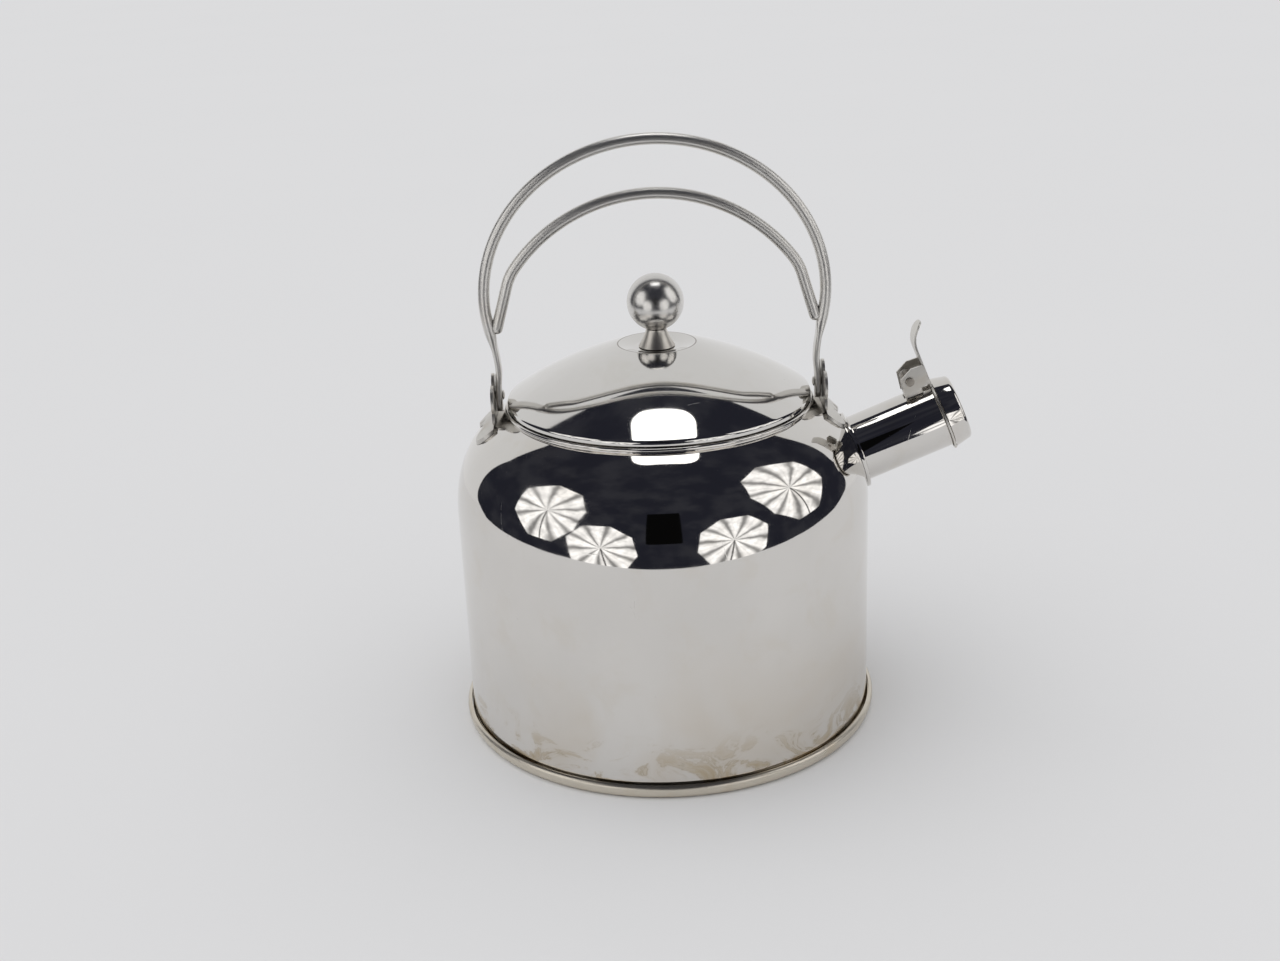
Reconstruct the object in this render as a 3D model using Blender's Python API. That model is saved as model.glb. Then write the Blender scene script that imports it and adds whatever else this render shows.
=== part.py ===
"""A whistling stove kettle of polished steel sheet.

A drawn body closed by a crimped base pan, a lift-off lid with a ball knob, a swinging handle of two
wire arches, and a straight spout shut by a sprung whistle cap with a thumb lever.

Metres, +Z up. The origin is the centre of the base, on the surface it stands on. The spout points
along +X and the handle stands in the XZ plane, so the part is symmetric about that plane.
"""

import math

import bmesh
import bpy
from mathutils import Matrix, Vector

# Running sizes shared by every piece
GAP = 0.0003
OVERRUN = 0.004
WELD = 0.000001
SHARP_ANGLE = math.radians(32)

# Facets round each turned form
BODY_FACETS = 56
LID_FACETS = 44
KNOB_FACETS = 24
SPOUT_FACETS = 28
SMALL_FACETS = 12

# Body shell: straight wall, domed shoulder, short neck and rolled mouth rim
BODY_WALL = 0.0008
BODY_RADIUS = 0.0930
WALL_TOP_Z = 0.1007
SHOULDER_WIDTH = 0.0254
SHOULDER_LIP = 0.0009
SHOULDER_LOWER_PULL = 0.0266
SHOULDER_UPPER_PULL = 0.0135
SHOULDER_END_SLOPE = math.radians(31.3)
SHOULDER_STEPS = 9
RIM_RADIUS = 0.00085
RIM_RISE = 0.0473
RIM_STAND = 0.0028
RIM_STEPS = 5
RIM_START_ANGLE = math.radians(-60)
FOOT_FILLET = 0.0006

# Base pan: flat floor whose edge is rolled up round the shell's foot
PAN_WALL = 0.0008
BEAD_PROUD = 0.0028
BEAD_MID_Z = 0.0043
BEAD_CORNER = 0.0028
BEAD_CURL = 0.0018
BEAD_CURL_RISE = 0.0019
BEAD_STEPS = 3

# Lid: domed shell with a dished centre, and the collar that drops into the mouth
LID_WALL = 0.0007
LID_INSET = 0.0002
LID_EDGE_RADIUS = 0.0006
LID_CORNER_RADIUS = 0.0024
LID_CORNER_RISE = 0.0011
LID_CORNER_STEPS = 3
DOME_RISE = 0.0254
DOME_FOOT_SLOPE = math.radians(33)
DOME_TOP_SLOPE = math.radians(18)
DOME_PULL_SHARE = 0.34
DOME_STEPS = 7
DISH_RADIUS = 0.0173
DISH_DEPTH = 0.0018
DISH_FLOOR_RADIUS = 0.0103
SKIRT_PLAY = 0.0010
SKIRT_WALL = 0.0007
SKIRT_DROP = 0.0065
SKIRT_FLANGE = 0.0060
SKIRT_FLANGE_STEPS = 3

# Knob and the screw that holds it
BALL_RADIUS = 0.0125
BALL_STEPS = 11
STEM_BASE_RADIUS = 0.0080
STEM_TOP_RADIUS = 0.0045
STEM_HEIGHT = 0.0077
STEM_WAIST_POWER = 1.35
STEM_STEPS = 5
SCREW_RADIUS = 0.0019
SCREW_HEAD_RADIUS = 0.0036
SCREW_HEAD_HEIGHT = 0.0022
SCREW_REACH = 0.0170
SCREW_PLAY = 0.0004
WASHER_RADIUS = 0.0060
WASHER_THICKNESS = 0.0010

# Handle: an outer wire arch whose legs are flattened for the rivets, and an inner arch welded to it
ROD_RADIUS = 0.00255
ARCH_OUTSET = 0.0069
ARCH_SPRING_RISE = 0.0470
ARCH_RISE = 0.0674
ARCH_FACETS = 10
ARCH_STEPS = 28
WAIST_OUTSET = 0.0027
WAIST_RISE = 0.0150
LEG_OUTSET = 0.0033
LEG_STRAIGHT_RISE = 0.0075
LEG_DROP = 0.0030
LEG_STEPS = 10
FLAT_START_RISE = 0.0340
FLAT_END_RISE = 0.0250
FLAT_HALF_THICKNESS = 0.00135
FLAT_HALF_WIDTH = 0.0038
FLAT_SQUARENESS = 4.0
ROUND_SQUARENESS = 2.0
LEG_END_SHARE = 0.03
INNER_DROP = 0.0230
INNER_BEND_EXTRA = 0.0010
INNER_TOP_ANGLE = math.radians(53.0)
INNER_CORNER_BEND = 0.0250
INNER_CORNER_ANGLE = math.radians(20.5)
INNER_END_RISE = 0.0324
INNER_END_INSET = 0.0022
INNER_STEPS = 12
CORNER_STEPS = 4

# Ears: stamped plates on the shoulder, each with an upright tab and a foot bent outward
PIVOT_RISE = 0.0045
EAR_WALL = 0.0012
TAB_CORE_RADIUS = 0.0065
TAB_TIP_RADIUS = 0.0045
TAB_TIP_RISE = 0.0055
TAB_SIDE_RADIUS = 0.0063
TAB_SIDE_REACH = 0.0085
TAB_SIDE_RISE = 0.0005
TAB_BASE_RADIUS = 0.0072
TAB_BASE_REACH = 0.0060
TAB_BASE_DROP = 0.0080
FOOT_CORE_RADIUS = 0.0062
FOOT_LOBE_RADIUS = 0.0070
FOOT_LOBE_REACH = 0.0110
FOOT_LOBE_OUT = 0.0015
LOBE_STEPS = 32
RIVET_RADIUS = 0.0016
RIVET_OUTER_HEAD_RADIUS = 0.0035
RIVET_OUTER_HEAD_HEIGHT = 0.0010
RIVET_INNER_HEAD_RADIUS = 0.0022
RIVET_INNER_HEAD_HEIGHT = 0.0008

# Spout: its axis leaves the shoulder at the flange's centre, and u is measured along it from there
SPOUT_INSET = 0.0056
SPOUT_RISE = 0.01825
SPOUT_TILT = math.radians(21.85)
TUBE_RADIUS = 0.0150
TUBE_WALL = 0.0008
TUBE_EASE = 0.00025
TUBE_END_U = 0.0444
TUBE_ROOT_U = -0.0150
FLANGE_PROUD = 0.0027
FLANGE_WALL = 0.0012
SPOUT_HOLE_INSET = 0.0015

# Cap hinge: a brazed channel on the tube, its pin and its torsion spring (v is measured up from the axis)
PIN_BACK = 0.0102
PIN_STAND = 0.0069
PIN_RADIUS = 0.0012
PIN_HEAD_RADIUS = 0.0019
PIN_HEAD_HEIGHT = 0.0007
PIN_PLAY = 0.0003
BRACKET_HALF_WIDTH = 0.0049
BRACKET_HALF_LENGTH = 0.0040
BRACKET_WALL = 0.0010
BRACKET_STAND = 0.0016
BRACKET_FLOOR_STAND = 0.0013
BRACKET_NOSE_RADIUS = 0.0028
SPRING_WIRE_RADIUS = 0.00035
SPRING_COIL_RADIUS = 0.0023
SPRING_PITCH = 0.0012
SPRING_CURLS = 5
SPRING_SIDE_SHARE = 0.25
SPRING_CURL_POINTS = 9
SPRING_LEVER_ARM = 0.0068
SPRING_LEVER_RISE = 0.0016
SPRING_TUBE_ARM = 0.0038
SPRING_TUBE_DROP = 0.0044
SPRING_ARM_POINTS = 3

# Cap: a coned cup with a whistle hole, the whistle's inner plate and the stamped lever
CAP_WALL = 0.0008
CAP_CLEARANCE = 0.0014
CAP_FRONT_REACH = 0.0066
CAP_EDGE = 0.0020
CAP_EDGE_STEPS = 3
WHISTLE_HOLE_RADIUS = 0.0025
WHISTLE_WALL = 0.0006
WHISTLE_REACH = 0.0018
LEVER_WALL = 0.0010
LEVER_BACK = 0.0027
LEVER_HALF_WIDTH = 0.0065
LEVER_FOOT_SINK = 0.0020
LEVER_STRAIGHT_RISE = 0.0116
LEVER_FACETS = 8
LEVER_SQUARENESS = 12.0
RING_CLEARANCE = 0.0009
RING_PROUD = 0.0005
RING_STEP = 0.0001
THUMB_BEND = 0.0120
THUMB_ANGLE = math.radians(62)
THUMB_HALF_WIDTH = 0.0050
THUMB_NARROWING_SHARE = 0.5
THUMB_ROUNDING_SHARE = 0.94
THUMB_ROUNDING_POWER = 3
THUMB_STEPS = 7
EYE_BACK_TOP = 0.0033
EYE_BACK_TOP_RISE = 0.0024
EYE_BACK_FOOT = 0.0044
EYE_BACK_FOOT_DROP = 0.0058
EYE_FRONT_FOOT_DROP = 0.0041
EYE_FRONT_TOP_RISE = 0.0049
EYE_SHOULDER = 0.0025
EYE_SHOULDER_RISE = 0.0053

# Where the body, lid and handle meet, worked out from the sizes above
BEAD_RADIUS = BODY_RADIUS + BEAD_PROUD
NECK_RADIUS = BODY_RADIUS - SHOULDER_WIDTH
SHOULDER_END_RADIUS = NECK_RADIUS + SHOULDER_LIP
RIM_TOP_Z = WALL_TOP_Z + RIM_RISE
SHOULDER_END_Z = RIM_TOP_Z - RIM_STAND
LID_RADIUS = NECK_RADIUS - LID_INSET
LID_BASE_Z = RIM_TOP_Z + GAP
DOME_TOP_Z = LID_BASE_Z + DOME_RISE
DISH_FLOOR_Z = DOME_TOP_Z - DISH_DEPTH
STEM_TOP_Z = DISH_FLOOR_Z + GAP + STEM_HEIGHT
SKIRT_RADIUS = NECK_RADIUS - BODY_WALL - SKIRT_PLAY
ARCH_HALF_SPAN = NECK_RADIUS + ARCH_OUTSET
ARCH_SPRING_Z = RIM_TOP_Z + ARCH_SPRING_RISE
WAIST_X = NECK_RADIUS + WAIST_OUTSET
WAIST_Z = RIM_TOP_Z + WAIST_RISE
LEG_X = NECK_RADIUS + LEG_OUTSET
LEG_STRAIGHT_Z = RIM_TOP_Z + LEG_STRAIGHT_RISE
LEG_END_Z = RIM_TOP_Z - LEG_DROP
FLAT_START_Z = RIM_TOP_Z + FLAT_START_RISE
FLAT_END_Z = RIM_TOP_Z + FLAT_END_RISE
INNER_TOP_Z = ARCH_SPRING_Z + ARCH_RISE - INNER_DROP
INNER_TOP_BEND = ARCH_HALF_SPAN + INNER_BEND_EXTRA
INNER_END_Z = RIM_TOP_Z + INNER_END_RISE
PIVOT_Z = RIM_TOP_Z + PIVOT_RISE
TAB_INNER_X = LEG_X + FLAT_HALF_THICKNESS + GAP
TAB_OUTER_X = TAB_INNER_X + EAR_WALL

# Where the spout, hinge and cap meet
SPOUT_X = BODY_RADIUS - SPOUT_INSET
SPOUT_Z = WALL_TOP_Z + SPOUT_RISE
FLANGE_RADIUS = TUBE_RADIUS + FLANGE_PROUD
SPOUT_HOLE_RADIUS = TUBE_RADIUS - SPOUT_HOLE_INSET
PIN_U = TUBE_END_U - PIN_BACK
PIN_V = TUBE_RADIUS + PIN_STAND
BRACKET_BACK_U = PIN_U - BRACKET_HALF_LENGTH
BRACKET_FRONT_U = PIN_U + BRACKET_HALF_LENGTH
BRACKET_BASE_V = TUBE_RADIUS + BRACKET_STAND
BRACKET_FLOOR_V = TUBE_RADIUS + BRACKET_FLOOR_STAND
CAP_REAR_RADIUS = TUBE_RADIUS + CAP_CLEARANCE
CAP_FRONT_RADIUS = TUBE_RADIUS
CAP_FRONT_U = TUBE_END_U + CAP_FRONT_REACH
WHISTLE_U = TUBE_END_U + WHISTLE_REACH
LEVER_BACK_U = TUBE_END_U - LEVER_BACK
LEVER_FRONT_U = LEVER_BACK_U + LEVER_WALL
LEVER_MID_U = LEVER_BACK_U + LEVER_WALL / 2
LEVER_FOOT_V = TUBE_RADIUS - LEVER_FOOT_SINK
LEVER_STRAIGHT_V = PIN_V + LEVER_STRAIGHT_RISE
CAP_REAR_U = LEVER_FRONT_U + GAP
RING_BORE_RADIUS = TUBE_RADIUS + RING_CLEARANCE
RING_RADIUS = CAP_REAR_RADIUS + RING_PROUD
EYE_INNER_Y = LEVER_HALF_WIDTH - LEVER_WALL

# Placing: turned forms are made about Z and flat outlines in XY, then turned into place
SPOUT_FRAME = Matrix.Translation((SPOUT_X, 0, SPOUT_Z)) @ Matrix.Rotation(-SPOUT_TILT, 4, "Y")
ALONG_X = Matrix.Rotation(math.pi / 2, 4, "Y")
ALONG_Y = Matrix.Rotation(-math.pi / 2, 4, "X")
FACING_X = Matrix(((0, 0, 1, 0), (1, 0, 0, 0), (0, 1, 0, 0), (0, 0, 0, 1)))
FACING_Y = Matrix(((1, 0, 0, 0), (0, 0, -1, 0), (0, 1, 0, 0), (0, 0, 0, 1)))


def clear_scene():
    for item in list(bpy.data.objects):
        bpy.data.objects.remove(item, do_unlink=True)


def polished(name, colour, roughness):
    """A bare metal with its own colour and roughness."""
    material = bpy.data.materials.new(name)
    material.use_nodes = True
    shader = material.node_tree.nodes["Principled BSDF"]
    shader.inputs["Base Color"].default_value = (*colour, 1)
    shader.inputs["Metallic"].default_value = 1
    shader.inputs["Roughness"].default_value = roughness
    return material


def add_mesh(name, bm, material):
    """Turn a bmesh into an object with outward faces, smooth but for its sharp edges."""
    bmesh.ops.recalc_face_normals(bm, faces=bm.faces)
    mesh = bpy.data.meshes.new(name)
    bm.to_mesh(mesh)
    bm.free()
    mesh.shade_smooth()
    mesh.set_sharp_from_angle(angle=SHARP_ANGLE)
    item = bpy.data.objects.new(name, mesh)
    bpy.context.scene.collection.objects.link(item)
    if material:
        mesh.materials.append(material)
    return item


def add_axis(name, matrix):
    """An empty that stands on a joint's axis or a frame's origin."""
    empty = bpy.data.objects.new(name, None)
    empty.empty_display_size = ROD_RADIUS
    empty.matrix_basis = matrix
    bpy.context.scene.collection.objects.link(empty)
    return empty


def place(item, matrix, parent=None):
    item.matrix_basis = matrix
    if parent:
        item.parent = parent
        item.matrix_parent_inverse = parent.matrix_basis.inverted()
    return item


def combine(item, operation, other):
    """Add a Boolean with a helper solid, which is then left out of the part."""
    modifier = item.modifiers.new(other.name, "BOOLEAN")
    modifier.operation = operation
    modifier.solver = "EXACT"
    modifier.object = other
    other.hide_render = True
    other.display_type = "WIRE"


def turned(name, outline, facets, material=None):
    """A solid of revolution about Z from (radius, height) points round its section.

    An outline that starts and ends on the axis is left open along it.
    """
    bm = bmesh.new()
    verts = [bm.verts.new((radius, 0, height)) for radius, height in outline]
    edges = [bm.edges.new(pair) for pair in zip(verts, verts[1:])]
    if outline[0][0] > WELD:
        edges.append(bm.edges.new((verts[-1], verts[0])))
    bmesh.ops.spin(
        bm, geom=verts + edges, cent=(0, 0, 0), axis=(0, 0, 1), angle=math.tau, steps=facets
    )
    bmesh.ops.remove_doubles(bm, verts=bm.verts, dist=WELD)
    return add_mesh(name, bm, material)


def cylinder(name, radius, low, high, facets):
    outline = [(0, low), (radius, low), (radius, high), (0, high)]
    return turned(name, outline, facets)


def prism(name, outline, low, high, material=None):
    """An outline in XY, extruded along Z from low to high."""
    bm = bmesh.new()
    face = bm.faces.new([bm.verts.new((x, y, low)) for x, y in outline])
    grown = bmesh.ops.extrude_face_region(bm, geom=[face])
    top = [item for item in grown["geom"] if isinstance(item, bmesh.types.BMVert)]
    bmesh.ops.translate(bm, verts=top, vec=(0, 0, high - low))
    return add_mesh(name, bm, material)


def right_normals(path):
    """At each point of a path, the unit normal on its right and the stretch that keeps a sheet even."""
    headings = [(Vector(end) - Vector(start)).normalized() for start, end in zip(path, path[1:])]
    sides = [Vector((heading.y, -heading.x)) for heading in headings]
    found = []
    for before, after in zip([sides[0], *sides], [*sides, sides[-1]]):
        normal = (before + after).normalized()
        found.append((normal, 1 / normal.dot(before)))
    return found


def beside(path, distance):
    """The path moved to its right, or to its left where the distance is negative."""
    return [
        tuple(Vector(point) + normal * distance * stretch)
        for point, (normal, stretch) in zip(path, right_normals(path))
    ]


def sheet(path, thickness):
    """The closed section of a sheet whose outer face is the path, with the metal on the path's left."""
    return path + beside(path, -thickness)[::-1]


def arc(centre, radii, start, end, steps):
    """Points round an ellipse with the given half axes, from one angle to another."""
    angles = [start + (end - start) * step / steps for step in range(steps + 1)]
    return [
        (centre[0] + radii[0] * math.cos(angle), centre[1] + radii[1] * math.sin(angle))
        for angle in angles
    ]


def height_at(path, radius):
    """The height of a (radius, height) path where it passes a radius."""
    for (r_start, z_start), (r_end, z_end) in zip(path, path[1:]):
        if min(r_start, r_end) <= radius <= max(r_start, r_end) and r_start != r_end:
            return z_start + (z_end - z_start) * (radius - r_start) / (r_end - r_start)
    return path[-1][1]


def swept(name, path, thicknesses, widths, squareness, facets, material=None):
    """A bar along a path in the XZ plane, its section between an ellipse and a rectangle.

    thicknesses lie in the path's plane and widths across it, both as half sizes.
    """
    bm = bmesh.new()
    rings = []
    turns = [math.tau * (index + 0.5) / facets for index in range(facets)]
    rows = zip(path, right_normals(path), thicknesses, widths, squareness)
    for (x, z), (normal, _), thickness, width, square in rows:
        ring = []
        for turn in turns:
            across = math.copysign(abs(math.cos(turn)) ** (2 / square), math.cos(turn)) * thickness
            along = math.copysign(abs(math.sin(turn)) ** (2 / square), math.sin(turn)) * width
            ring.append(bm.verts.new((x + normal.x * across, along, z + normal.y * across)))
        rings.append(ring)
    for ring, following in zip(rings, rings[1:]):
        for index in range(facets):
            after = (index + 1) % facets
            bm.faces.new((ring[index], ring[after], following[after], following[index]))
    bm.faces.new(rings[0])
    bm.faces.new(rings[-1])
    return add_mesh(name, bm, material)


def lobed_outline(lobes, start, end, steps):
    """The edge of overlapping discs as seen from the origin, which one of them covers."""
    outline = []
    for step in range(steps):
        angle = start + (end - start) * step / (steps - 1)
        heading = Vector((math.cos(angle), math.sin(angle)))
        reach = 0
        for x, y, radius in lobes:
            centre = Vector((x, y))
            nearest = heading.dot(centre)
            inside = nearest**2 - centre.length_squared + radius**2
            if inside >= 0:
                reach = max(reach, nearest + math.sqrt(inside))
        outline.append(tuple(heading * reach))
    return outline


def bend(start, start_pull, end_pull, end, steps):
    """Points along a cubic curve between two points and the two that pull it."""
    points = []
    for step in range(steps + 1):
        t = step / steps
        s = 1 - t
        point = s**3 * start + 3 * s**2 * t * start_pull + 3 * s * t**2 * end_pull + t**3 * end
        points.append(tuple(point))
    return points


def shoulder_path():
    """The body's outer face from the top of its straight wall up to the neck."""
    foot = Vector((BODY_RADIUS, WALL_TOP_Z))
    end = Vector((SHOULDER_END_RADIUS, SHOULDER_END_Z))
    foot_pull = foot + Vector((0, SHOULDER_LOWER_PULL))
    slope = Vector((math.cos(SHOULDER_END_SLOPE), -math.sin(SHOULDER_END_SLOPE)))
    end_pull = end + slope * SHOULDER_UPPER_PULL
    points = bend(foot, foot_pull, end_pull, end, SHOULDER_STEPS)
    neck_foot_z = SHOULDER_END_Z + (SHOULDER_END_RADIUS - NECK_RADIUS) * math.tan(SHOULDER_END_SLOPE)
    points.append((NECK_RADIUS, neck_foot_z))
    return points


def body_form(name, distance):
    """The body's upper outside as one solid, grown by a distance, to cut or to bound what sits on it."""
    rim_z = RIM_TOP_Z + OVERRUN
    path = [(BODY_RADIUS, BEAD_MID_Z), *shoulder_path(), (NECK_RADIUS, rim_z)]
    grown = beside(path, distance)
    return turned(name, [(0, BEAD_MID_Z), *grown, (0, rim_z)], BODY_FACETS)


def body_shell(material):
    """Drawn shell with a flange at its foot, which the base pan is rolled round."""
    flange_radius = BEAD_RADIUS - PAN_WALL - GAP
    flange_z = BEAD_MID_Z + BODY_WALL / 2
    rim_z = RIM_TOP_Z - RIM_RADIUS
    path = [
        (flange_radius, flange_z),
        (BODY_RADIUS + FOOT_FILLET, flange_z),
        (BODY_RADIUS, flange_z + FOOT_FILLET),
        *shoulder_path(),
        (NECK_RADIUS, rim_z - RIM_RADIUS),
    ]
    rim_centre = (NECK_RADIUS - BODY_WALL + RIM_RADIUS, rim_z)
    rim = arc(rim_centre, (RIM_RADIUS, RIM_RADIUS), RIM_START_ANGLE, math.pi, RIM_STEPS)
    outline = path + rim + beside(path, -BODY_WALL)[::-1]
    shell = turned("body_shell", outline, BODY_FACETS, material)
    hole = cylinder("spout_hole", SPOUT_HOLE_RADIUS, TUBE_ROOT_U, OVERRUN, SPOUT_FACETS)
    place(hole, SPOUT_FRAME @ ALONG_X)
    combine(shell, "DIFFERENCE", hole)
    return shell


def base_pan(material):
    """Flat floor with its edge rolled up and over the shell's flange."""
    corner = arc(
        (BEAD_RADIUS - BEAD_CORNER, BEAD_MID_Z),
        (BEAD_CORNER, BEAD_MID_Z),
        -math.pi / 2,
        0,
        BEAD_STEPS,
    )
    curl = arc(
        (BEAD_RADIUS - BEAD_CURL, BEAD_MID_Z),
        (BEAD_CURL, BEAD_CURL_RISE),
        0,
        math.pi / 2,
        BEAD_STEPS,
    )
    path = [(0, 0), *corner, *curl[1:]]
    return turned("base_pan", sheet(path, PAN_WALL), BODY_FACETS, material)


def dome_path():
    """The lid's outer face from its edge, over a tight corner, up to the rim of the dish."""
    centre = (LID_RADIUS - LID_CORNER_RADIUS, LID_BASE_Z + LID_CORNER_RISE)
    radii = (LID_CORNER_RADIUS, LID_CORNER_RADIUS)
    corner = arc(centre, radii, 0, math.pi / 2 - DOME_FOOT_SLOPE, LID_CORNER_STEPS)
    foot = Vector(corner[-1])
    rim = Vector((DISH_RADIUS, DOME_TOP_Z))
    pull = (rim - foot).length * DOME_PULL_SHARE
    foot_pull = foot + Vector((-math.cos(DOME_FOOT_SLOPE), math.sin(DOME_FOOT_SLOPE))) * pull
    rim_pull = rim + Vector((math.cos(DOME_TOP_SLOPE), -math.sin(DOME_TOP_SLOPE))) * pull
    return corner[:-1] + bend(foot, foot_pull, rim_pull, rim, DOME_STEPS)


def lid_shell(material, axis):
    """Domed sheet with a rolled edge, a dished centre and the screw's hole."""
    path = [
        *dome_path(),
        (DISH_FLOOR_RADIUS, DISH_FLOOR_Z),
        (SCREW_RADIUS + SCREW_PLAY, DISH_FLOOR_Z),
    ]
    edge_centre = (LID_RADIUS - LID_EDGE_RADIUS, LID_BASE_Z + LID_EDGE_RADIUS)
    edge = arc(edge_centre, (LID_EDGE_RADIUS, LID_EDGE_RADIUS), -math.pi, 0, CORNER_STEPS)
    lid = turned("lid_shell", edge + sheet(path, LID_WALL), LID_FACETS, material)
    return place(lid, Matrix(), axis)


def lid_skirt(material, axis):
    """Collar inside the lid, its top edge turned in against the lid's underside."""
    under = beside(dome_path(), -LID_WALL - GAP)
    path = [(SKIRT_RADIUS, LID_BASE_Z - SKIRT_DROP)]
    for step in range(SKIRT_FLANGE_STEPS + 1):
        radius = SKIRT_RADIUS - SKIRT_FLANGE * step / SKIRT_FLANGE_STEPS
        path.append((radius, height_at(under, radius)))
    skirt = turned("lid_skirt", sheet(path, SKIRT_WALL), LID_FACETS, material)
    return place(skirt, Matrix(), axis)


def ball_seat_drop():
    """How far the ball's flat seat lies below its centre."""
    return math.sqrt(BALL_RADIUS**2 - STEM_TOP_RADIUS**2)


def knob_stem(material, axis):
    """Waisted bush between the lid and the ball, bored for the screw."""
    foot_z = DISH_FLOOR_Z + GAP
    bore = SCREW_RADIUS + SCREW_PLAY
    side = []
    for step in range(STEM_STEPS + 1):
        share = step / STEM_STEPS
        flare = (STEM_BASE_RADIUS - STEM_TOP_RADIUS) * (1 - share) ** STEM_WAIST_POWER
        side.append((STEM_TOP_RADIUS + flare, foot_z + STEM_HEIGHT * share))
    outline = [(bore, foot_z), *side, (bore, STEM_TOP_Z)]
    return place(turned("knob_stem", outline, KNOB_FACETS, material), Matrix(), axis)


def knob_ball(material, axis):
    """Ball with a flat seat on the stem and a blind hole for the screw."""
    seat_z = STEM_TOP_Z + GAP
    centre_z = seat_z + ball_seat_drop()
    bore = SCREW_RADIUS + SCREW_PLAY
    bore_top_z = DISH_FLOOR_Z + SCREW_REACH + SCREW_PLAY
    start = -math.acos(STEM_TOP_RADIUS / BALL_RADIUS)
    side = arc((0, centre_z), (BALL_RADIUS, BALL_RADIUS), start, math.pi / 2, BALL_STEPS)
    side[-1] = (0, centre_z + BALL_RADIUS)
    outline = [(0, bore_top_z), (bore, bore_top_z), (bore, seat_z), *side]
    return place(turned("knob_ball", outline, KNOB_FACETS, material), Matrix(), axis)


def knob_washer(material, axis):
    top_z = DISH_FLOOR_Z - LID_WALL - GAP
    bottom_z = top_z - WASHER_THICKNESS
    bore = SCREW_RADIUS + SCREW_PLAY
    outline = [(bore, bottom_z), (WASHER_RADIUS, bottom_z), (WASHER_RADIUS, top_z), (bore, top_z)]
    return place(turned("knob_washer", outline, KNOB_FACETS, material), Matrix(), axis)


def knob_screw(material, axis):
    """Pan-head screw driven up through the lid and the stem into the ball."""
    seat_z = DISH_FLOOR_Z - LID_WALL - GAP - WASHER_THICKNESS - GAP
    head = arc(
        (0, seat_z), (SCREW_HEAD_RADIUS, SCREW_HEAD_HEIGHT), -math.pi / 2, 0, CORNER_STEPS
    )
    head[0] = (0, seat_z - SCREW_HEAD_HEIGHT)
    tip_z = DISH_FLOOR_Z + SCREW_REACH
    outline = [*head, (SCREW_RADIUS, seat_z), (SCREW_RADIUS, tip_z), (0, tip_z)]
    return place(turned("knob_screw", outline, SMALL_FACETS, material), Matrix(), axis)


def leg_x(z):
    """How far out the outer arch's leg runs at a height below the arch's springing."""
    if z >= WAIST_Z:
        share = (z - WAIST_Z) / (ARCH_SPRING_Z - WAIST_Z)
        return WAIST_X + (ARCH_HALF_SPAN - WAIST_X) * (1 - math.cos(math.pi * share)) / 2
    share = min(1, (WAIST_Z - z) / (WAIST_Z - LEG_STRAIGHT_Z))
    return WAIST_X + (LEG_X - WAIST_X) * (1 - math.cos(math.pi * share)) / 2


def leg_heights():
    """Heights down a leg, closer together round its end."""
    even = [
        ARCH_SPRING_Z + (LEG_END_Z + FLAT_HALF_WIDTH - ARCH_SPRING_Z) * step / LEG_STEPS
        for step in range(1, LEG_STEPS + 1)
    ]
    end = [
        LEG_END_Z + FLAT_HALF_WIDTH * (1 - math.sin(math.pi / 2 * step / CORNER_STEPS))
        for step in range(1, CORNER_STEPS + 1)
    ]
    return even + end


def outer_arch_path():
    top = arc((0, ARCH_SPRING_Z), (ARCH_HALF_SPAN, ARCH_RISE), math.pi, 0, ARCH_STEPS)
    right = [(leg_x(z), z) for z in leg_heights()]
    left = [(-x, z) for x, z in right]
    return left[::-1] + top + right


def flatness(z):
    """0 on the round wire, 1 where the leg is hammered flat."""
    share = (FLAT_START_Z - z) / (FLAT_START_Z - FLAT_END_Z)
    share = min(1, max(0, share))
    return share * share * (3 - 2 * share)


def outer_arch_bar(name, grown, material=None):
    """The outer arch's bar, its skin moved out by grown."""
    path = outer_arch_path()
    thicknesses = []
    widths = []
    squareness = []
    for _, z in path:
        flat = flatness(z)
        half_width = ROD_RADIUS + (FLAT_HALF_WIDTH - ROD_RADIUS) * flat
        below = max(0, LEG_END_Z + FLAT_HALF_WIDTH - z) / FLAT_HALF_WIDTH
        rounding = max(math.sqrt(max(0, 1 - below**2)), LEG_END_SHARE)
        thicknesses.append(ROD_RADIUS + (FLAT_HALF_THICKNESS - ROD_RADIUS) * flat + grown)
        widths.append(half_width * rounding + grown)
        squareness.append(ROUND_SQUARENESS + (FLAT_SQUARENESS - ROUND_SQUARENESS) * flat)
    return swept(name, path, thicknesses, widths, squareness, ARCH_FACETS, material)


def handle_outer_arch(material, axis):
    """Wire arch with two waisted legs, flattened and pierced for the rivets."""
    arch = outer_arch_bar("handle_outer_arch", 0, material)
    reach = ARCH_HALF_SPAN + OVERRUN
    hole = cylinder("leg_hole", RIVET_RADIUS + PIN_PLAY, -reach, reach, SMALL_FACETS)
    place(hole, Matrix.Translation((0, 0, PIVOT_Z)) @ ALONG_X)
    combine(arch, "DIFFERENCE", hole)
    return place(arch, Matrix(), axis)


def inner_arch_path():
    """Half the inner arch: a wide bend, a tighter corner and a straight run into the leg."""
    wide = arc(
        (0, INNER_TOP_Z - INNER_TOP_BEND),
        (INNER_TOP_BEND, INNER_TOP_BEND),
        math.pi / 2,
        math.pi / 2 - INNER_TOP_ANGLE,
        INNER_STEPS,
    )
    x, z = wide[-1]
    turn = math.pi / 2 - INNER_TOP_ANGLE
    centre = (x - INNER_CORNER_BEND * math.cos(turn), z - INNER_CORNER_BEND * math.sin(turn))
    radii = (INNER_CORNER_BEND, INNER_CORNER_BEND)
    corner = arc(centre, radii, turn, turn - INNER_CORNER_ANGLE, CORNER_STEPS)
    return wide + corner[1:] + [(leg_x(INNER_END_Z) - INNER_END_INSET, INNER_END_Z)]


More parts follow.
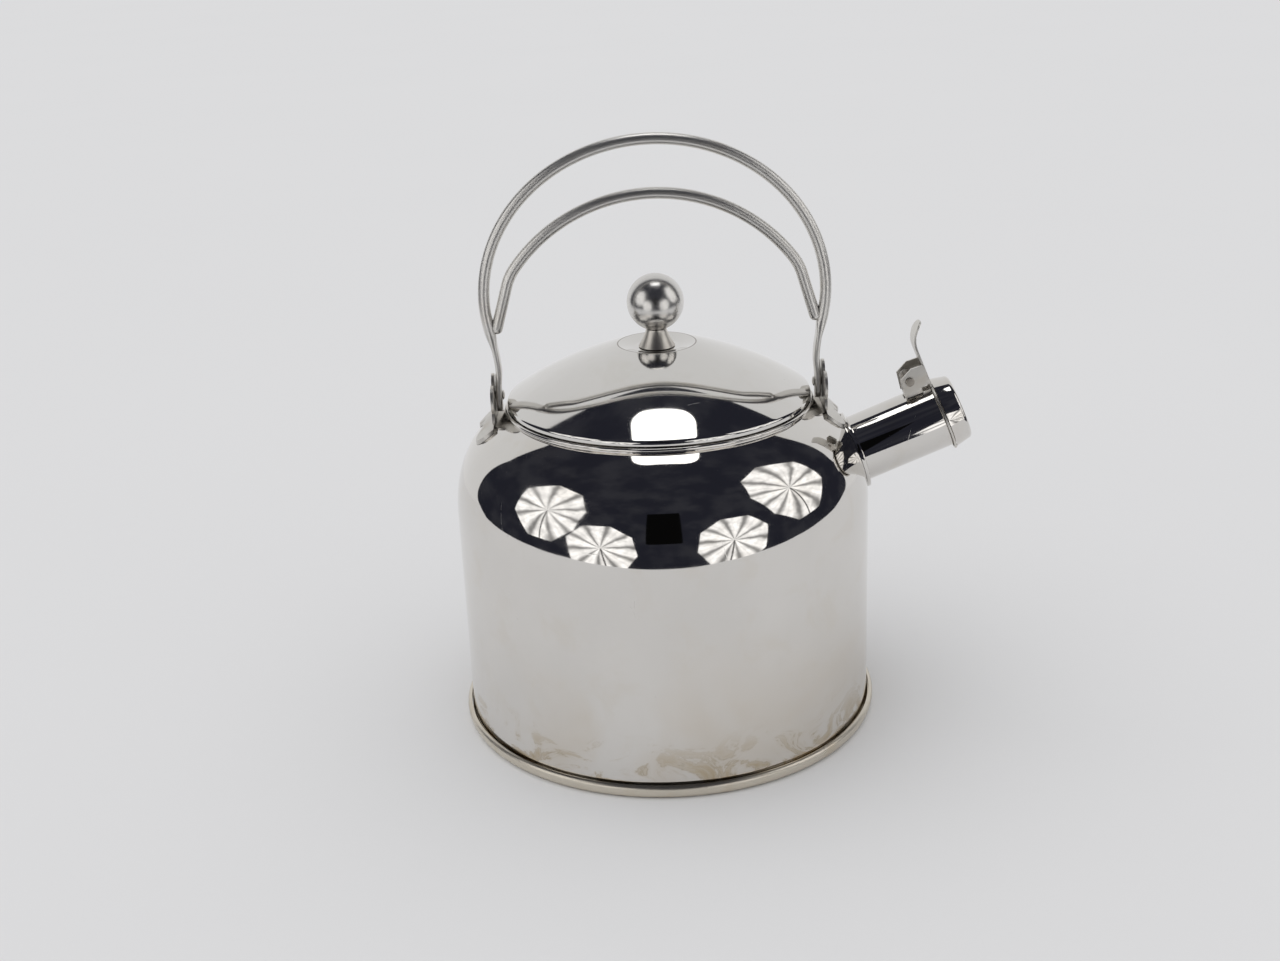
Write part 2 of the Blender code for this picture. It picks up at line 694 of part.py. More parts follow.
def handle_inner_arch(material, axis):
    """Shorter arch whose ends are fitted to the outer arch's legs."""
    right = inner_arch_path()
    left = [(-x, z) for x, z in right]
    path = left[::-1] + right[1:]
    sizes = [ROD_RADIUS] * len(path)
    squareness = [ROUND_SQUARENESS] * len(path)
    arch = swept("handle_inner_arch", path, sizes, sizes, squareness, ARCH_FACETS, material)
    combine(arch, "DIFFERENCE", outer_arch_bar("weld_line", GAP))
    return place(arch, Matrix(), axis)


def tab_lobes():
    return [
        (0, 0, TAB_CORE_RADIUS),
        (0, TAB_TIP_RISE, TAB_TIP_RADIUS),
        (TAB_SIDE_REACH, TAB_SIDE_RISE, TAB_SIDE_RADIUS),
        (-TAB_SIDE_REACH, TAB_SIDE_RISE, TAB_SIDE_RADIUS),
        (TAB_BASE_REACH, -TAB_BASE_DROP, TAB_BASE_RADIUS),
        (-TAB_BASE_REACH, -TAB_BASE_DROP, TAB_BASE_RADIUS),
    ]


def foot_lobes():
    return [
        (0, 0, FOOT_CORE_RADIUS),
        (FOOT_LOBE_OUT, FOOT_LOBE_REACH, FOOT_LOBE_RADIUS),
        (FOOT_LOBE_OUT, -FOOT_LOBE_REACH, FOOT_LOBE_RADIUS),
    ]


def ear(name, turn, material, under, over):
    """Stamped ear: an upright tab beside the leg, and a scalloped foot that follows the shoulder."""
    facing = Matrix.Rotation(turn, 4, "Z")
    full_turn = math.tau * (LOBE_STEPS - 1) / LOBE_STEPS
    tab_outline = lobed_outline(tab_lobes(), 0, full_turn, LOBE_STEPS)
    tab = prism(name, tab_outline, TAB_INNER_X, TAB_OUTER_X, material)
    place(tab, facing @ Matrix.Translation((0, 0, PIVOT_Z)) @ FACING_X)
    foot_outline = lobed_outline(foot_lobes(), -math.pi / 2, math.pi / 2, LOBE_STEPS // 2)
    foot = prism(name + "_foot", foot_outline, WALL_TOP_Z, RIM_TOP_Z)
    place(foot, facing @ Matrix.Translation(((TAB_INNER_X + TAB_OUTER_X) / 2, 0, 0)))
    combine(foot, "INTERSECT", over)
    combine(tab, "UNION", foot)
    combine(tab, "DIFFERENCE", under)
    low = TAB_INNER_X - OVERRUN
    hole = cylinder(name + "_hole", RIVET_RADIUS + PIN_PLAY, low, TAB_OUTER_X + OVERRUN, SMALL_FACETS)
    place(hole, facing @ Matrix.Translation((0, 0, PIVOT_Z)) @ ALONG_X)
    combine(tab, "DIFFERENCE", hole)
    return tab


def ear_rivet(name, turn, material):
    """Rivet through a leg and its ear: the handle turns on it."""
    leg_face = LEG_X - FLAT_HALF_THICKNESS - GAP
    tab_face = TAB_OUTER_X + GAP
    half_pi = math.pi / 2
    inner = arc(
        (0, leg_face), (RIVET_INNER_HEAD_RADIUS, RIVET_INNER_HEAD_HEIGHT), -half_pi, 0, CORNER_STEPS
    )
    inner[0] = (0, leg_face - RIVET_INNER_HEAD_HEIGHT)
    outer = arc(
        (0, tab_face), (RIVET_OUTER_HEAD_RADIUS, RIVET_OUTER_HEAD_HEIGHT), 0, half_pi, CORNER_STEPS
    )
    outer[-1] = (0, tab_face + RIVET_OUTER_HEAD_HEIGHT)
    outline = [*inner, (RIVET_RADIUS, leg_face), (RIVET_RADIUS, tab_face), *outer]
    rivet = turned(name, outline, SMALL_FACETS, material)
    facing = Matrix.Rotation(turn, 4, "Z")
    return place(rivet, facing @ Matrix.Translation((0, 0, PIVOT_Z)) @ ALONG_X)


def spout_tube(material, frame, under):
    """Straight tube, its root cut to the shoulder and its mouth eased."""
    bore = TUBE_RADIUS - TUBE_WALL
    outline = [
        (bore, TUBE_ROOT_U),
        (TUBE_RADIUS, TUBE_ROOT_U),
        (TUBE_RADIUS, TUBE_END_U - TUBE_EASE),
        (TUBE_RADIUS - TUBE_EASE, TUBE_END_U),
        (bore + TUBE_EASE, TUBE_END_U),
        (bore, TUBE_END_U - TUBE_EASE),
    ]
    tube = turned("spout_tube", outline, SPOUT_FACETS, material)
    combine(tube, "DIFFERENCE", under)
    return place(tube, SPOUT_FRAME @ ALONG_X, frame)


def spout_flange(material, frame, under, over):
    """Thin saddle washer that follows the shoulder round the tube's root."""
    flange = cylinder("spout_flange", FLANGE_RADIUS, TUBE_ROOT_U, -TUBE_ROOT_U, SPOUT_FACETS)
    flange.data.materials.append(material)
    reach = OVERRUN - TUBE_ROOT_U
    bore = cylinder("flange_bore", TUBE_RADIUS + GAP, -reach, reach, SPOUT_FACETS)
    place(bore, SPOUT_FRAME @ ALONG_X)
    combine(flange, "INTERSECT", over)
    combine(flange, "DIFFERENCE", under)
    combine(flange, "DIFFERENCE", bore)
    return place(flange, SPOUT_FRAME @ ALONG_X, frame)


def pin_hole(name):
    """A cutter through every plate that the hinge pin passes."""
    reach = LEVER_HALF_WIDTH + OVERRUN
    hole = cylinder(name, PIN_RADIUS + PIN_PLAY, -reach, reach, SMALL_FACETS)
    return place(hole, SPOUT_FRAME @ Matrix.Translation((PIN_U, 0, PIN_V)) @ ALONG_Y)


def hinge_bracket(material, frame):
    """Channel brazed on top of the tube, with a rounded cheek each side of the spring."""
    nose = arc(
        (PIN_U, PIN_V), (BRACKET_NOSE_RADIUS, BRACKET_NOSE_RADIUS), 0, math.pi, 2 * CORNER_STEPS
    )
    outline = [
        (BRACKET_BACK_U, LEVER_FOOT_V),
        (BRACKET_FRONT_U, LEVER_FOOT_V),
        (BRACKET_FRONT_U, BRACKET_BASE_V),
        *nose,
        (BRACKET_BACK_U, BRACKET_BASE_V),
    ]
    bracket = prism("hinge_bracket", outline, -BRACKET_HALF_WIDTH, BRACKET_HALF_WIDTH, material)
    seat = cylinder(
        "bracket_seat",
        TUBE_RADIUS + GAP,
        BRACKET_BACK_U - OVERRUN,
        BRACKET_FRONT_U + OVERRUN,
        SPOUT_FACETS,
    )
    place(seat, SPOUT_FRAME @ ALONG_X)
    back = BRACKET_BACK_U - OVERRUN
    front = BRACKET_FRONT_U + OVERRUN
    top = PIN_V + BRACKET_NOSE_RADIUS + OVERRUN
    slot_outline = [(back, BRACKET_FLOOR_V), (front, BRACKET_FLOOR_V), (front, top), (back, top)]
    inner = BRACKET_HALF_WIDTH - BRACKET_WALL
    slot = prism("bracket_slot", slot_outline, -inner, inner)
    place(slot, SPOUT_FRAME @ FACING_Y)
    combine(bracket, "DIFFERENCE", seat)
    combine(bracket, "DIFFERENCE", slot)
    combine(bracket, "DIFFERENCE", pin_hole("bracket_hole"))
    return place(bracket, SPOUT_FRAME @ FACING_Y, frame)


def hinge_pin(material, frame):
    """Pin riveted over outside the lever's eyes."""
    face = LEVER_HALF_WIDTH + GAP
    end = face + PIN_HEAD_HEIGHT
    shoulder = PIN_HEAD_RADIUS - PIN_HEAD_HEIGHT / 2
    right = [
        (PIN_RADIUS, face),
        (PIN_HEAD_RADIUS, face),
        (PIN_HEAD_RADIUS, end - PIN_HEAD_HEIGHT / 2),
        (shoulder, end),
        (0, end),
    ]
    left = [(radius, -y) for radius, y in right]
    pin = turned("hinge_pin", left[::-1] + right, SMALL_FACETS, material)
    return place(pin, SPOUT_FRAME @ Matrix.Translation((PIN_U, 0, PIN_V)) @ ALONG_Y, frame)


def spring_points():
    """The spring's wire from its arm on the tube, round the pin, to its arm on the lever."""
    count = SPRING_CURLS * SPRING_CURL_POINTS
    start = -math.pi / 2
    points = []
    for index in range(count + SPRING_CURL_POINTS // 2 + 1):
        angle = start - math.tau * index / SPRING_CURL_POINTS
        curl = index / SPRING_CURL_POINTS - SPRING_CURLS / 2 - SPRING_SIDE_SHARE
        side = SPRING_PITCH * curl
        x = SPRING_COIL_RADIUS * math.cos(angle)
        z = SPRING_COIL_RADIUS * math.sin(angle)
        points.append(Vector((x, side, z)))
    tube_end = Vector((SPRING_TUBE_ARM, points[0].y, -SPRING_TUBE_DROP))
    lever_end = Vector((SPRING_LEVER_ARM, points[-1].y, SPRING_LEVER_RISE))
    first, last = points[0], points[-1]
    shares = [step / SPRING_ARM_POINTS for step in range(1, SPRING_ARM_POINTS + 1)]
    tube_arm = [first.lerp(tube_end, share) for share in shares]
    lever_arm = [last.lerp(lever_end, share) for share in shares]
    return tube_arm[::-1] + points + lever_arm


def least_self_gap(points, radius):
    """The least clear distance between stretches of a wire over a third of a curl apart."""
    apart = SPRING_CURL_POINTS // 2
    least = math.inf
    for index, point in enumerate(points):
        for other in points[index + apart :]:
            least = min(least, (point - other).length)
    return least - 2 * radius


def cap_spring(material, frame):
    """Torsion spring round the pin, between the bracket's cheeks."""
    points = spring_points()
    curve = bpy.data.curves.new("cap_spring", "CURVE")
    curve.dimensions = "3D"
    curve.bevel_depth = SPRING_WIRE_RADIUS
    curve.bevel_resolution = 1
    curve.use_fill_caps = True
    spline = curve.splines.new("POLY")
    spline.points.add(len(points) - 1)
    for slot, point in zip(spline.points, points):
        slot.co = (*point, 1)
    spring = bpy.data.objects.new("cap_spring", curve)
    bpy.context.scene.collection.objects.link(spring)
    curve.materials.append(material)
    print("cap_spring least gap to itself, m:", round(least_self_gap(points, SPRING_WIRE_RADIUS), 6))
    return place(spring, SPOUT_FRAME @ Matrix.Translation((PIN_U, 0, PIN_V)), frame)


def cap_path():
    """The cap's outer face from its rear edge to the whistle hole."""
    edge_u = CAP_FRONT_U - CAP_EDGE
    edge = arc(
        (CAP_FRONT_RADIUS - CAP_EDGE, edge_u), (CAP_EDGE, CAP_EDGE), 0, math.pi / 2, CAP_EDGE_STEPS
    )
    return [(CAP_REAR_RADIUS, CAP_REAR_U), *edge, (WHISTLE_HOLE_RADIUS, CAP_FRONT_U)]


def cap_shell(material, axis):
    cap = turned("cap_shell", sheet(cap_path(), CAP_WALL), SPOUT_FACETS, material)
    return place(cap, SPOUT_FRAME @ ALONG_X, axis)


def whistle_plate(material, axis):
    """Flanged disc behind the cap's front: steam whistles through its hole and the cap's."""
    radius = CAP_FRONT_RADIUS - CAP_WALL - GAP
    front_u = CAP_FRONT_U - CAP_EDGE
    path = [(WHISTLE_HOLE_RADIUS, WHISTLE_U), (radius, WHISTLE_U), (radius, front_u)]
    plate = turned("whistle_plate", sheet(path, WHISTLE_WALL), SPOUT_FACETS, material)
    return place(plate, SPOUT_FRAME @ ALONG_X, axis)


def lever_eye(name, inner, outer):
    """One of the lever's bent cheeks, which the pin passes through."""
    outline = [
        (PIN_U - EYE_BACK_FOOT, PIN_V - EYE_BACK_FOOT_DROP),
        (LEVER_MID_U, PIN_V - EYE_FRONT_FOOT_DROP),
        (LEVER_MID_U, PIN_V + EYE_FRONT_TOP_RISE),
        (PIN_U + EYE_SHOULDER, PIN_V + EYE_SHOULDER_RISE),
        (PIN_U - EYE_BACK_TOP, PIN_V + EYE_BACK_TOP_RISE),
    ]
    return place(prism(name, outline, inner, outer), SPOUT_FRAME @ FACING_Y)


def cap_lever(material, axis):
    """Stamped lever: a ring behind the cap's edge, a strip with two eyes, and a curved thumb tab."""
    half_wall = LEVER_WALL / 2
    strip_half_width = LEVER_HALF_WIDTH - half_wall
    thumb = arc(
        (LEVER_MID_U + THUMB_BEND, LEVER_STRAIGHT_V),
        (THUMB_BEND, THUMB_BEND),
        math.pi,
        math.pi - THUMB_ANGLE,
        THUMB_STEPS,
    )
    path = [(LEVER_MID_U, LEVER_FOOT_V), *thumb]
    widths = [strip_half_width]
    for step in range(THUMB_STEPS + 1):
        share = step / THUMB_STEPS
        narrowing = min(1, share / THUMB_NARROWING_SHARE)
        narrowed = strip_half_width + (THUMB_HALF_WIDTH - strip_half_width) * narrowing
        rounding = max(0, share - THUMB_NARROWING_SHARE) / (1 - THUMB_NARROWING_SHARE)
        cut = THUMB_ROUNDING_SHARE * rounding**THUMB_ROUNDING_POWER
        widths.append(narrowed * math.sqrt(1 - cut))
    walls = [half_wall] * len(path)
    squareness = [LEVER_SQUARENESS] * len(path)
    lever = swept("cap_lever", path, walls, widths, squareness, LEVER_FACETS, material)
    ring_inside = RING_BORE_RADIUS - half_wall
    ring_outline = [
        (ring_inside, LEVER_BACK_U + RING_STEP),
        (RING_RADIUS, LEVER_BACK_U + RING_STEP),
        (RING_RADIUS, LEVER_FRONT_U - RING_STEP),
        (ring_inside, LEVER_FRONT_U - RING_STEP),
    ]
    ring = turned("lever_ring", ring_outline, SPOUT_FACETS)
    place(ring, SPOUT_FRAME @ ALONG_X)
    bore = cylinder(
        "ring_bore", RING_BORE_RADIUS, LEVER_BACK_U - OVERRUN, LEVER_FRONT_U + OVERRUN, SPOUT_FACETS
    )
    place(bore, SPOUT_FRAME @ ALONG_X)
    combine(lever, "UNION", ring)
    combine(lever, "UNION", lever_eye("lever_eye_left", EYE_INNER_Y, LEVER_HALF_WIDTH))
    combine(lever, "UNION", lever_eye("lever_eye_right", -LEVER_HALF_WIDTH, -EYE_INNER_Y))
    combine(lever, "DIFFERENCE", bore)
    combine(lever, "DIFFERENCE", pin_hole("lever_hole"))
    return place(lever, SPOUT_FRAME, axis)


def build():
    clear_scene()
    under = body_form("shoulder_clearance", GAP)
    ear_over = body_form("ear_upper_face", GAP + EAR_WALL)
    flange_over = body_form("flange_upper_face", GAP + FLANGE_WALL)
    lid_axis = add_axis("lid_axis", Matrix())
    handle_axis = add_axis("handle_axis", Matrix.Translation((0, 0, PIVOT_Z)))
    spout_axis = add_axis("spout_axis", SPOUT_FRAME)
    cap_axis = add_axis("cap_axis", SPOUT_FRAME @ Matrix.Translation((PIN_U, 0, PIN_V)))

    body_shell(polished("body_shell", (0.62, 0.60, 0.57), 0.06))
    base_pan(polished("base_pan", (0.55, 0.53, 0.49), 0.14))

    lid_shell(polished("lid_shell", (0.64, 0.62, 0.59), 0.07), lid_axis)
    lid_skirt(polished("lid_skirt", (0.52, 0.50, 0.47), 0.20), lid_axis)
    knob_stem(polished("knob_stem", (0.63, 0.61, 0.58), 0.06), lid_axis)
    knob_ball(polished("knob_ball", (0.66, 0.65, 0.62), 0.04), lid_axis)
    knob_washer(polished("knob_washer", (0.50, 0.49, 0.47), 0.25), lid_axis)
    knob_screw(polished("knob_screw", (0.45, 0.44, 0.42), 0.30), lid_axis)

    handle_outer_arch(polished("handle_outer_arch", (0.63, 0.61, 0.58), 0.10), handle_axis)
    handle_inner_arch(polished("handle_inner_arch", (0.63, 0.61, 0.58), 0.10), handle_axis)
    ear("ear_front", 0, polished("ear_front", (0.50, 0.48, 0.45), 0.18), under, ear_over)
    ear("ear_rear", math.pi, polished("ear_rear", (0.50, 0.48, 0.45), 0.18), under, ear_over)
    ear_rivet("ear_rivet_front", 0, polished("ear_rivet_front", (0.48, 0.46, 0.43), 0.20))
    ear_rivet("ear_rivet_rear", math.pi, polished("ear_rivet_rear", (0.48, 0.46, 0.43), 0.20))

    spout_flange(polished("spout_flange", (0.60, 0.58, 0.55), 0.10), spout_axis, under, flange_over)
    spout_tube(polished("spout_tube", (0.62, 0.60, 0.57), 0.06), spout_axis, under)
    hinge_bracket(polished("hinge_bracket", (0.42, 0.40, 0.36), 0.25), spout_axis)
    hinge_pin(polished("hinge_pin", (0.50, 0.48, 0.45), 0.20), spout_axis)
    cap_spring(polished("cap_spring", (0.35, 0.33, 0.30), 0.30), spout_axis)
    cap_shell(polished("cap_shell", (0.62, 0.61, 0.58), 0.06), cap_axis)
    whistle_plate(polished("whistle_plate", (0.50, 0.49, 0.46), 0.20), cap_axis)
    cap_lever(polished("cap_lever", (0.58, 0.56, 0.52), 0.14), cap_axis)


build()
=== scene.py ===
"""Looks of a polished steel whistling kettle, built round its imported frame."""

import math

import bmesh
import bpy
from mathutils import Matrix, Vector


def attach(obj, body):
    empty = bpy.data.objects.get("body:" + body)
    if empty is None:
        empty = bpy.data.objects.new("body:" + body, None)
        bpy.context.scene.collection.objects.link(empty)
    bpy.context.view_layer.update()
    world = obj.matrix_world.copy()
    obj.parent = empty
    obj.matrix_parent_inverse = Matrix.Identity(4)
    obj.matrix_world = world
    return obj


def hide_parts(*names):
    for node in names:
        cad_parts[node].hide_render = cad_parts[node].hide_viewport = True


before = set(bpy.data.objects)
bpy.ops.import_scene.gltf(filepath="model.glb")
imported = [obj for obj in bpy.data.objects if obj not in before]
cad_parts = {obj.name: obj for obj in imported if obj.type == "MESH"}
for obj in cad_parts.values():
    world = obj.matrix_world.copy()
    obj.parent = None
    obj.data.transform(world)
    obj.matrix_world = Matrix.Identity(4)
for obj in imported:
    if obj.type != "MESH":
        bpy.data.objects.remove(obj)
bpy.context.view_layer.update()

scene = bpy.context.scene
scene.view_settings.view_transform = "Standard"

# Sizes of the frame, in metres
GAP = 0.0003
TRIM_GAP = 0.0001
OVERRUN = 0.004

# Body and base
BODY_WALL = 0.0008
BODY_RADIUS = 0.0930
WALL_TOP_Z = 0.1007
WALL_RINGS = 8
FOOT_FILLET = 0.0006
SHOULDER_END_RADIUS = 0.0685
SHOULDER_END_Z = 0.1452
SHOULDER_LOWER_PULL = 0.0266
SHOULDER_UPPER_PULL = 0.0135
SHOULDER_END_SLOPE = math.radians(31.3)
NECK_RADIUS = 0.0676
RIM_RADIUS = 0.00085
RIM_TOP_Z = 0.1480
PAN_WALL = 0.0008
PAN_FLAT_RADIUS = 0.0600
BEAD_RADIUS = 0.0958
BEAD_MID_Z = 0.0043
BEAD_CORNER = 0.0028
BEAD_CURL = 0.0018
BEAD_CURL_RISE = 0.0019

# Lid, collar and knob
LID_WALL = 0.0007
LID_RADIUS = 0.0674
LID_EDGE_RADIUS = 0.0006
LID_CORNER_RADIUS = 0.0014
LID_CORNER_RISE = 0.00165
DOME_RISE = 0.0254
DOME_FOOT_SLOPE = math.radians(33)
DOME_TOP_SLOPE = math.radians(18)
DOME_PULL_SHARE = 0.34
DISH_RADIUS = 0.0173
DISH_DEPTH = 0.0018
DISH_FLOOR_RADIUS = 0.0103
DISH_EASE = 0.0009
LID_BASE_Z = RIM_TOP_Z + GAP
DOME_TOP_Z = LID_BASE_Z + DOME_RISE
DISH_FLOOR_Z = DOME_TOP_Z - DISH_DEPTH
SKIRT_RADIUS = 0.0658
SKIRT_WALL = 0.0007
SKIRT_DROP = 0.0065
SKIRT_FLANGE = 0.0060
SKIRT_STEPS = 8
BALL_RADIUS = 0.0125
BALL_BORE_RISE = 0.0174
STEM_BASE_RADIUS = 0.0080
STEM_TOP_RADIUS = 0.0045
STEM_HEIGHT = 0.0077
STEM_POWER = 1.35
STEM_STEPS = 24
SCREW_BORE = 0.0023

# Handle, ears and rivets
ROD_RADIUS = 0.00255
ROD_FACETS = 28
ARCH_HALF_SPAN = 0.0745
ARCH_SPRING_Z = 0.1950
ARCH_RISE = 0.0674
WAIST_X = 0.0703
WAIST_Z = 0.1630
LEG_X = 0.0709
LEG_STRAIGHT_Z = 0.1555
LEG_END_Z = 0.1450
LEG_STEPS = 48
LEG_END_STEPS = 14
LEG_TIP_LEAST_SHARE = 0.0008
FLAT_START_Z = 0.1820
FLAT_END_Z = 0.1730
FLAT_HALF_THICKNESS = 0.00135
FLAT_HALF_WIDTH = 0.0038
INNER_TOP_Z = 0.2394
INNER_TOP_BEND = 0.0755
INNER_TOP_ANGLE = math.radians(53.0)
INNER_CORNER_BEND = 0.0250
INNER_CORNER_ANGLE = math.radians(20.5)
INNER_END_Z = 0.1804
INNER_END_INSET = 0.0022
INNER_END_STEPS = 30
INNER_TIP_SHARE = 0.12
PIVOT_Z = 0.1525
EAR_WALL = 0.0012
EAR_HOLE_RADIUS = 0.0019
TAB_INNER_X = LEG_X + FLAT_HALF_THICKNESS + GAP
TAB_OUTER_X = TAB_INNER_X + EAR_WALL
RIVET_RADIUS = 0.0016
RIVET_INNER_HEAD = (0.0022, 0.0008)
RIVET_OUTER_HEAD = (0.0035, 0.0010)

# Spout, hinge, spring and cap: U runs along the spout and V across it
SPOUT_X = 0.0874
SPOUT_Z = 0.11895
SPOUT_TILT = math.radians(21.85)
TUBE_RADIUS = 0.0150
TUBE_WALL = 0.0008
TUBE_END_U = 0.0444
TUBE_ROOT_U = -0.0150
FLANGE_RADIUS = 0.0177
FLANGE_WALL = 0.0012
FLANGE_BORE_REACH = 0.03
FLANGE_SOFTNESS = 0.0004
SPOUT_HOLE_RADIUS = 0.0135
PIN_U = 0.0342
PIN_V = 0.0219
PIN_RADIUS = 0.0012
PIN_HEAD_RADIUS = 0.0019
PIN_HEAD_WALL = 0.0007
PIN_HEAD_EASE = 0.00035
PIN_HOLE_RADIUS = 0.0015
PIN_HOLE_REACH = 0.0105
BRACKET_BACK_U = 0.0302
BRACKET_FRONT_U = 0.0382
BRACKET_NOSE_V = 0.0166
BRACKET_NOSE_RADIUS = 0.0028
BRACKET_HALF_WIDTH = 0.0049
BRACKET_SOFTNESS = 0.0002
SLOT_BACK_U = 0.0262
SLOT_FRONT_U = 0.0422
SLOT_FLOOR_V = 0.0163
SLOT_TOP_V = 0.0287
SLOT_HALF_WIDTH = 0.0039
SPRING_CURLS = 5
SPRING_CURL_POINTS = 32
SPRING_COIL_RADIUS = 0.0023
SPRING_PITCH = 0.0012
SPRING_SIDE_SHARE = 0.25
SPRING_WIRE_RADIUS = 0.00035
SPRING_TUBE_ARM = 0.0038
SPRING_TUBE_DROP = 0.0044
SPRING_LEVER_ARM = 0.0068
SPRING_LEVER_RISE = 0.0016
SPRING_ARM_POINTS = 6
CAP_WALL = 0.0008
CAP_REAR_RADIUS = 0.0164
CAP_FRONT_RADIUS = 0.0150
CAP_FRONT_U = 0.0510
CAP_EDGE = 0.0020
WHISTLE_HOLE_RADIUS = 0.0025
WHISTLE_WALL = 0.0006
WHISTLE_U = 0.0462
LEVER_WALL = 0.0010
LEVER_BACK_U = 0.0417
LEVER_FOOT_V = 0.0130
LEVER_MIDDLE_V = 0.0230
LEVER_STRAIGHT_V = 0.0335
LEVER_HALF_WIDTH = 0.0065
LEVER_FACETS = 24
LEVER_SQUARENESS = 10
LEVER_SOFTNESS = 0.00018
RING_BORE_RADIUS = 0.0159
RING_RADIUS = 0.0169
RING_STEP = 0.0001
EYE_INSIDE = 0.0055
THUMB_BEND = 0.0120
THUMB_ANGLE = math.radians(62)
THUMB_HALF_WIDTH = 0.0050
THUMB_STEPS = 36
THUMB_TAPER_SHARE = 0.94

# Steps round a turned piece
FINE = 256
MEDIUM = 128
SMALL = 40

SPOUT_FRAME = Matrix.Translation((SPOUT_X, 0, SPOUT_Z)) @ Matrix.Rotation(-SPOUT_TILT, 4, "Y")
ALONG_X = Matrix.Rotation(math.pi / 2, 4, "Y")
ALONG_Y = Matrix.Rotation(-math.pi / 2, 4, "X")
FACING_X = Matrix(((0, 0, 1, 0), (1, 0, 0, 0), (0, 1, 0, 0), (0, 0, 0, 1)))
FACING_Y = Matrix(((1, 0, 0, 0), (0, 0, -1, 0), (0, 1, 0, 0), (0, 0, 0, 1)))
ALONG_SPOUT = SPOUT_FRAME @ ALONG_X
BESIDE_SPOUT = SPOUT_FRAME @ FACING_Y
PIN_FRAME = SPOUT_FRAME @ Matrix.Translation((PIN_U, 0, PIN_V))


def add_mesh(name, bm, matrix=None):
    bmesh.ops.recalc_face_normals(bm, faces=bm.faces)
    mesh = bpy.data.meshes.new(name)
    bm.to_mesh(mesh)
    bm.free()
    if matrix:
        mesh.transform(matrix)
    item = bpy.data.objects.new(name, mesh)
    scene.collection.objects.link(item)
    return item


def turned(name, outline, facets, matrix=None):
    """A solid of revolution about Z from (radius, height) points."""
    bm = bmesh.new()
    verts = [bm.verts.new((radius, 0, height)) for radius, height in outline]
    edges = [bm.edges.new(pair) for pair in zip(verts, verts[1:])]
    if outline[0][0] > 1e-6:
        edges.append(bm.edges.new((verts[-1], verts[0])))
    bmesh.ops.spin(bm, geom=verts + edges, cent=(0, 0, 0), axis=(0, 0, 1), angle=math.tau, steps=facets)
    bmesh.ops.remove_doubles(bm, verts=bm.verts, dist=1e-6)
    return add_mesh(name, bm, matrix)


def cylinder(name, radius, low, high, facets, matrix=None):
    return turned(name, [(0, low), (radius, low), (radius, high), (0, high)], facets, matrix)


def prism(name, outline, low, high, matrix=None):
    bm = bmesh.new()
    face = bm.faces.new([bm.verts.new((x, y, low)) for x, y in outline])
    grown = bmesh.ops.extrude_face_region(bm, geom=[face])
    top = [item for item in grown["geom"] if isinstance(item, bmesh.types.BMVert)]
    bmesh.ops.translate(bm, verts=top, vec=(0, 0, high - low))
    return add_mesh(name, bm, matrix)


def right_normals(path):
    headings = [(Vector(end) - Vector(start)).normalized() for start, end in zip(path, path[1:])]
    sides = [Vector((heading.y, -heading.x)) for heading in headings]
    found = []
    for before, after in zip([sides[0], *sides], [*sides, sides[-1]]):
        normal = (before + after).normalized()
        found.append((normal, 1 / normal.dot(before)))
    return found


def beside(path, distance):
    return [
        tuple(Vector(point) + normal * distance * stretch)
        for point, (normal, stretch) in zip(path, right_normals(path))
    ]


def sheet(path, thickness):
    return path + beside(path, -thickness)[::-1]


def arc(centre, radii, start, end, steps):
    angles = [start + (end - start) * step / steps for step in range(steps + 1)]
    return [(centre[0] + radii[0] * math.cos(a), centre[1] + radii[1] * math.sin(a)) for a in angles]


def height_at(path, radius):
    for (r_start, z_start), (r_end, z_end) in zip(path, path[1:]):
        if min(r_start, r_end) <= radius <= max(r_start, r_end) and r_start != r_end:
            return z_start + (z_end - z_start) * (radius - r_start) / (r_end - r_start)
    return path[-1][1]


def swept(name, path, thicknesses, widths, squareness, facets, matrix=None):
    """A bar along a path in the XZ plane, its section between an ellipse and a rectangle."""
    bm = bmesh.new()
    rings = []
    turns = [math.tau * (index + 0.5) / facets for index in range(facets)]
    sections = zip(path, right_normals(path), thicknesses, widths, squareness)
    for (x, z), (normal, _), thick, width, square in sections:
        ring = []
        for turn in turns:
            across = math.copysign(abs(math.cos(turn)) ** (2 / square), math.cos(turn)) * thick
            along = math.copysign(abs(math.sin(turn)) ** (2 / square), math.sin(turn)) * width
            ring.append(bm.verts.new((x + normal.x * across, along, z + normal.y * across)))
        rings.append(ring)
    for ring, following in zip(rings, rings[1:]):
        for index in range(facets):
            after = (index + 1) % facets
            bm.faces.new((ring[index], ring[after], following[after], following[index]))
    bm.faces.new(rings[0])
    bm.faces.new(rings[-1])
    return add_mesh(name, bm, matrix)


def combine(item, *steps):
    """Apply Booleans in turn; the helpers are left in the scene."""
    helpers = set()
    for operation, other in steps:
        modifier = item.modifiers.new(other.name, "BOOLEAN")
        modifier.operation = operation
        modifier.solver = "EXACT"
        modifier.object = other
        helpers.add(other)
    bpy.context.view_layer.update()
    graph = bpy.context.evaluated_depsgraph_get()
    mesh = bpy.data.meshes.new_from_object(item.evaluated_get(graph))
    item.modifiers.clear()
    item.data = mesh
    return item


def discard(*items):
    for item in items:
        bpy.data.objects.remove(item, do_unlink=True)


